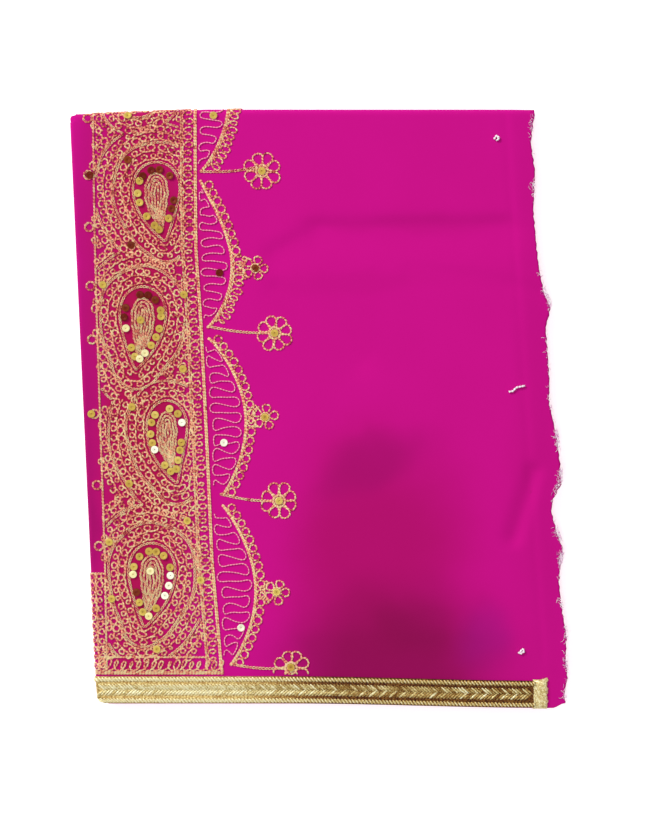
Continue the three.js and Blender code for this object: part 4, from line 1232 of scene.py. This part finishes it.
def painted_glare(shade, along):
    """Painted glare on the metal's shade: lifted towards 1 by a share at the left, and lowered at the right.
    """
    past_glare = ease(GLARE_FADE_FROM, GLARE_FADE_TO, along)
    return np.clip(shade + (1 - shade) * GLARE_LIFT * (1 - past_glare) - GLARE_DIM * past_glare, 0, 1)


def carried(along, across, raise_by, shade, outward):
    """A closed section carried along the lace, with a face over each end. outward is 1 where the section
    runs from across to up, and -1 where it runs the other way."""
    along = np.broadcast_to(along[:, None], across.shape)
    return on_lace(along, across, raise_by).reshape(-1, 3), capped_tube(*across.shape, outward), shade


# %% Base and cords
def lace_strip():
    """The woven base, drawn dark to paint the shade in the grooves: a low closed profile carried along the
    lace.
    """
    turned = np.linspace(LACE_START, LEFT_NOSE, WRAP_STEPS)[:-1]
    along = np.concatenate([turned, np.arange(LEFT_NOSE, LACE_LENGTH, STRIP_STEP)])
    across, raised = (np.broadcast_to(column, (len(along), len(column))) for column in STRIP_PROFILE.T)
    shade = painted_glare(GROOVE_SHADE, along[:, None]) + np.zeros_like(across)
    return carried(along, across, raised, shade.ravel(), -1)


def lace_cord(across, phase):
    """One flat strand of a two-strand twist: its centre circles the cord's line once in a twist."""
    along = np.arange(LACE_START + 0.1, LACE_LENGTH, CORD_STEP)
    turn = (along / CORD_TWIST * 2 * math.pi + phase)[:, None]
    sides = np.linspace(0, 2 * math.pi, CORD_SIDES, endpoint=False)[None, :]
    strand_across = across + STRAND_ACROSS * (np.cos(turn) + np.cos(sides))
    strand_raised = CORD_RAISE + CORD_SWING * np.sin(turn) + STRAND_TALL * np.sin(sides)
    shade = painted_glare(CORD_SHADE + CORD_LIGHT * np.sin(turn) + SIDE_LIGHT * np.sin(sides), along[:, None])
    return carried(along, strand_across, strand_raised, shade.ravel(), 1)


# %% The plait
def lace_plait(side):
    """Herringbone: slanted bars from one groove to the middle line, each an arched lozenge. Every third is
    bright."""
    starts = np.arange(PLAIT_FROM, LACE_LENGTH - BAR_RUN - 1, PLAIT_PITCH) + (side > 0) * PLAIT_PITCH / 2
    u = np.linspace(0, 1, BAR_PLACES)[None, :, None]
    v = np.linspace(0, 2 * math.pi, BAR_SIDES, endpoint=False)[None, None, :]
    thick = BAR_THICK * np.sin(math.pi * np.clip(u, *BAR_ENDS)) ** BAR_BLUNT
    along = starts[:, None, None] + u * BAR_RUN + np.cos(v) * thick * side * BAR_ALONG
    across = LACE_WIDTH / 2 + side * (BAR_REACH - BAR_CROSS * u) + np.cos(v) * thick * BAR_ASIDE
    raised = BAR_RAISE + BAR_ARCH * np.sin(math.pi * u) + np.sin(v) * thick * BAR_FLAT
    shape = np.broadcast_shapes(along.shape, across.shape, raised.shape)
    along, across, raised = (np.broadcast_to(part, shape) for part in (along, across, raised))
    count = len(starts)
    bars = np.where(np.arange(count) % BRIGHT_EVERY == 0, BRIGHT_BAR, DULL_BAR)
    bars = bars + rng.normal(0, BAR_SPREAD, count)
    shade = painted_glare(bars[:, None, None] + BAR_LIGHT * np.sin(v), along)
    faces = [repeat_faces(block, count, shape[1] * shape[2]) for block in capped_tube(*shape[1:])]
    return on_lace(along, across, raised).reshape(-1, 3), faces, shade.ravel()


# %% Material: braid
BRAID_GRAIN, BRAID_GRAIN_SHARE = 1300.0, 0.32  # wires about 0.2 mm across; drawn at 0.8 mm so that they show
BRAID_STOPS = [(0.05, "#3A1000"), (0.25, "#784814"), (0.45, "#B28E4A"), (0.65, "#E2CE8C"), (0.85, "#FFF8CE")]
braid = thread_material("braid_metal_wire", {
    "Roughness": 0.36, "Metallic": 0.35, "Specular IOR Level": 0.25,
}, BRAID_STOPS, BRAID_GRAIN, BRAID_GRAIN_SHARE)

# %% The lace
lace_parts = [lace_strip(), lace_plait(-1), lace_plait(1)]
lace_parts += [lace_cord(across, phase) for across in CORD_AT for phase in (0, math.pi)]
new_piece("plaited_lace", lace_parts, braid, ["gold_lace"])

# %% [markdown]
# ## The lace's folded end
# At the right the lace is turned back on itself and shows its meshy underside: fine wires that cross.
# Drawing each wire would take thousands of threads that nobody sees. So it is one grid whose height has two
# slanted waves that cross, with rounded edges, and Solidify gives it a thickness.

# %% Folded end
TURN_FROM, TURN_TO = 118.8, 127.0
TURN_HEM, TURN_TOP, TOP_RISE = -0.5, 15.7, 1.0  # across the lace, past both its edges, and up to the right
MESH_PITCH = 0.8
TURN_LOW, TURN_HIGH = 0.45, 2.0  # height over the cloth at the edges and in the middle
TURN_COLUMNS, TURN_ROWS = 56, 96
TURN_THICKNESS = 0.3
MESH_TALL, SLOW_TALL, ROUGH_TALL = 0.12, 0.06, 0.03  # the crossing waves, a slow one, and chance, in height
TURN_SHADE, MESH_LIGHT, SLOW_LIGHT, ROUGH_LIGHT = 0.74, 0.2, 0.06, 0.14  # the same in shade


def folded_end():
    """Height = low + (high - low + mesh) * rise from the left * (1 - u ** 6) * (1 - |v| ** 8), where the
    mesh is two waves that cross."""
    u, v = np.meshgrid(np.linspace(-1, 1, TURN_COLUMNS), np.linspace(-1, 1, TURN_ROWS))
    wobble = (0.3 * np.sin(v * 9) + 0.2 * np.sin(v * 23 + 1)) * np.abs(u) ** 8
    x = (TURN_FROM + TURN_TO) / 2 + u * (TURN_TO - TURN_FROM) / 2 + wobble
    top = TURN_TOP + TOP_RISE * ease(-0.3, 1, u)
    y = hem_y(x) + LACE_INSET + (TURN_HEM + top) / 2 + v * (top - TURN_HEM) / 2
    across = y - hem_y(x)
    wave = 2 * math.pi / (MESH_PITCH * math.sqrt(2))
    waves = np.sin((x + across) * wave) * np.sin((x - across) * wave)
    slow = SLOW_TALL * np.sin(x * 1.9 + 2 * np.sin(across * 0.8))
    mesh = MESH_TALL * waves + slow + rng.normal(0, ROUGH_TALL, x.shape)
    edge = ease(-1, -0.1, u) * (1 - np.maximum(u, 0) ** 6) * (1 - np.abs(v) ** 8)
    z = face_z(x, y) + TURN_LOW + (TURN_HIGH - TURN_LOW + mesh) * edge
    # painted light: the shade follows the crossing waves, so the mesh's crests are drawn lighter
    shade = TURN_SHADE + MESH_LIGHT * waves + SLOW_LIGHT * np.sin(x * 2.3 + across * 1.1)
    shade = shade + rng.normal(0, ROUGH_LIGHT, x.shape)
    return np.stack([x, y, z], -1).reshape(-1, 3), grid_faces(*x.shape), np.clip(shade, 0, 1).ravel()


lace_turned = new_piece("lace_folded_end", [folded_end()], braid, ["gold_lace_end"])
turned_thickness = lace_turned.modifiers.new("lace_thickness", "SOLIDIFY")
turned_thickness.thickness = TURN_THICKNESS * MM
turned_thickness.offset = -1.0

# %% [markdown]
# ## Tack stitches
# Three white tacking stitches hold the press crease. Each is a short piece of cotton that goes through a
# few places of its own, so each is one thin thread along a path of its own.

# %% Tack stitches
TACKS = [  # the points each stitch passes through
    [(97.2, 149.4), (98.6, 151.4), (100.2, 149.9), (98.4, 148.6)],
    [(105.4, 9.0), (107.6, 9.4), (109.6, 11.4), (114.4, 12.4)],
    [(110.8, -136.4), (113.2, -133.8), (114, -135.2), (111.8, -136.6)],
]
COTTON_STOPS = [(0.2, "#D070BC"), (0.5, "#F8CCE8"), (0.75, "#FFFFFF")]
COTTON_GRAIN = 1500.0  # about 0.7 mm, coarser than the real fibres so that it shows
cotton = thread_material("cotton_tack_thread", {
    "Roughness": 0.85, "Sheen Weight": 0.2,
}, COTTON_STOPS, COTTON_GRAIN, GRAIN_SHARE)
tack_parts = [thin_thread(row, radius=0.65, shade=0.68) for row in TACKS]
new_piece("tack_stitches", tack_parts, cotton)

# %% [markdown]
# ## Fray
# The cut edge on the right has frayed into short pale fibres where the cloth was handled. A hair system
# could grow them, but a few hundred curved fibres are quick to work out as arrays, and they come out as
# plain meshes.

# %% Fray
FRAY_SPANS = [  # Y of a stretch's top and bottom, and its number of fibres; the last is the whole edge
    (162.9, 150.7, 30), (126.8, 117.3, 30), (66.7, 56.7, 60), (43.4, 20, 14), (7.2, -1.1, 14),
    (-12.2, -22, 70), (-34, -46.7, 84), (-67.8, -74, 56), (-80, -87.3, 100), (-106.8, -112, 22),
    (-121, -129, 26), (-140.1, -146, 26), (-156, -162.4, 18), (150, -160, 70),
]
FIBRE_PLACES = 6
FIBRE_LENGTHS, FIBRE_IN = (0.6, 3.0), (0.1, 1.3)  # length, and how far inside the edge a fibre starts
FIBRE_HEADING, HEADING_SPREAD, FIBRE_CURL = 0.4, 1.1, 1.6
FIBRE_RAISE, FIBRE_ARCH = 0.1, 0.3
FIBRES_BEYOND = 0.9  # how far the fibres may stand out past the cut edge
FIBRE_RADIUS, FIBRE_TAPER = 0.17, 0.5  # a fibre's tip is thinner by this share
FIBRE_SHADES = (0.1, 1.0)


def fray_fibres():
    """Short curved fibres along the raw edge: each starts just inside it and curls along it."""
    base_y = np.concatenate([rng.uniform(low, high, count) for high, low, count in FRAY_SPANS])
    count = len(base_y)
    base_x = raw_line_x(base_y) + raw_wave(TOP_FOLD - base_y) - rng.uniform(*FIBRE_IN, count)
    length = rng.uniform(*FIBRE_LENGTHS, count)
    heading = rng.normal(FIBRE_HEADING, HEADING_SPREAD, count)[:, None]
    share = np.linspace(0, 1, FIBRE_PLACES)
    heading = heading + rng.normal(0, FIBRE_CURL, count)[:, None] * share[None, :]
    step = length[:, None] / (FIBRE_PLACES - 1)
    x = base_x[:, None] + np.cumsum(np.cos(heading) * step, 1)
    y = base_y[:, None] + np.cumsum(np.sin(heading) * step, 1)
    edge = raw_line_x(y) + raw_wave(TOP_FOLD - y)
    x = np.minimum(x, edge + FIBRES_BEYOND)
    z = face_z(np.minimum(x, edge), y) + FIBRE_RAISE + FIBRE_ARCH * np.sin(math.pi * share)[None, :]
    centre = np.stack([x, y, z], -1)
    ahead = unit(np.gradient(centre, axis=1))
    side = unit(np.cross(ahead, [0, 0, 1.0]))
    out = np.cross(side, ahead)
    ring = section(centre, side, out, SIDE_TURN, FIBRE_RADIUS * (1 - FIBRE_TAPER * share))
    size = FIBRE_PLACES * len(SIDE_TURN)
    faces = [repeat_faces(block, count, size) for block in capped_tube(FIBRE_PLACES, len(SIDE_TURN), -1)]
    return ring.reshape(-1, 3), faces, np.repeat(rng.uniform(*FIBRE_SHADES, count), size)


new_piece("frayed_edge", [fray_fibres()], cotton)

# %% [markdown]
# ## Floor, light and camera
# The camera looks straight down, as in the photo. The floor is plain and pale. A broad soft light from the
# upper left models the creases, and a smaller one low on the left gives the lace and the lower sequins
# their glare.

# %% Floor
CAMERA_X, CAMERA_Y = 1.9, -6.1
FLOOR_HALF = 20  # metres
PHOTO_HEIGHT = 465.9  # millimetres that the photo's 838 rows cover on the cloth
LENS, SENSOR = 80.0, 36.0


def floor_material():
    """Painted board on a light table: white and matt, with a faint mottle and a little light of its own."""
    material, tree, shader = new_material("painted_board", {
        "Roughness": 0.9, "Emission Color": (1, 1, 1, 1), "Emission Strength": 0.55,
    })
    place = node(tree, "ShaderNodeTexCoord").outputs["Object"]
    mottle = node(tree, "ShaderNodeTexNoise", sockets={"Vector": place, "Scale": 6.0})
    colour = node(tree, "ShaderNodeMix", {"data_type": "RGBA"}, {
        "Factor": mottle.outputs["Fac"], "A": linear("#F6F6F6"), "B": linear("#F9F9F9"),
    })
    tree.links.new(colour.outputs["Result"], shader.inputs["Base Color"])
    return material


floor_mesh = bpy.data.meshes.new("floor")
corners = [(x * FLOOR_HALF, y * FLOOR_HALF, 0) for x, y in ((-1, -1), (1, -1), (1, 1), (-1, 1))]
floor_mesh.from_pydata(corners, [], [(0, 1, 2, 3)])
floor_mesh.materials.append(floor_material())
floor = bpy.data.objects.new("floor", floor_mesh)
bpy.context.scene.collection.objects.link(floor)


# %% Lights
def area_light(name, location, size, power, aim=(0, 0, 0)):
    """A square soft light that faces its aim point; sizes in metres and power in watts."""
    light = bpy.data.lights.new(name, "AREA")
    light.size, light.energy = size, power
    lamp = bpy.data.objects.new(name, light)
    direction = [a - b for a, b in zip(aim, location)]
    lamp.location = location
    lamp.rotation_euler = Vector(direction).to_track_quat("-Z", "Y").to_euler()
    bpy.context.scene.collection.objects.link(lamp)
    print(name, power, "W")


area_light("key_light", location=(-1.9, 1.75, 1.9), size=1.2, power=80)
area_light("fill_light", location=(1.1, -0.3, 1.6), size=1.6, power=4.7)
area_light("glare_light", location=(-0.2, -0.36, 1.25), size=0.16, power=1.5, aim=(-0.1, -0.14, 0))
ROOM_LIGHT = 0.42
world = bpy.data.worlds.new("soft_room")
world.use_nodes = True
world.node_tree.nodes["Background"].inputs["Color"].default_value = (1, 1, 1, 1)
world.node_tree.nodes["Background"].inputs["Strength"].default_value = ROOM_LIGHT
bpy.context.scene.world = world
bpy.context.scene.view_settings.view_transform = "Standard"

# %% Camera
camera_data = bpy.data.cameras.new("camera")
camera_data.lens, camera_data.sensor_width = LENS, SENSOR
camera = bpy.data.objects.new("camera", camera_data)
camera.location = (CAMERA_X * MM, CAMERA_Y * MM, (HEIGHT + PHOTO_HEIGHT * LENS / SENSOR) * MM)
bpy.context.scene.collection.objects.link(camera)
bpy.context.scene.camera = camera
print("camera", tuple(camera.location))
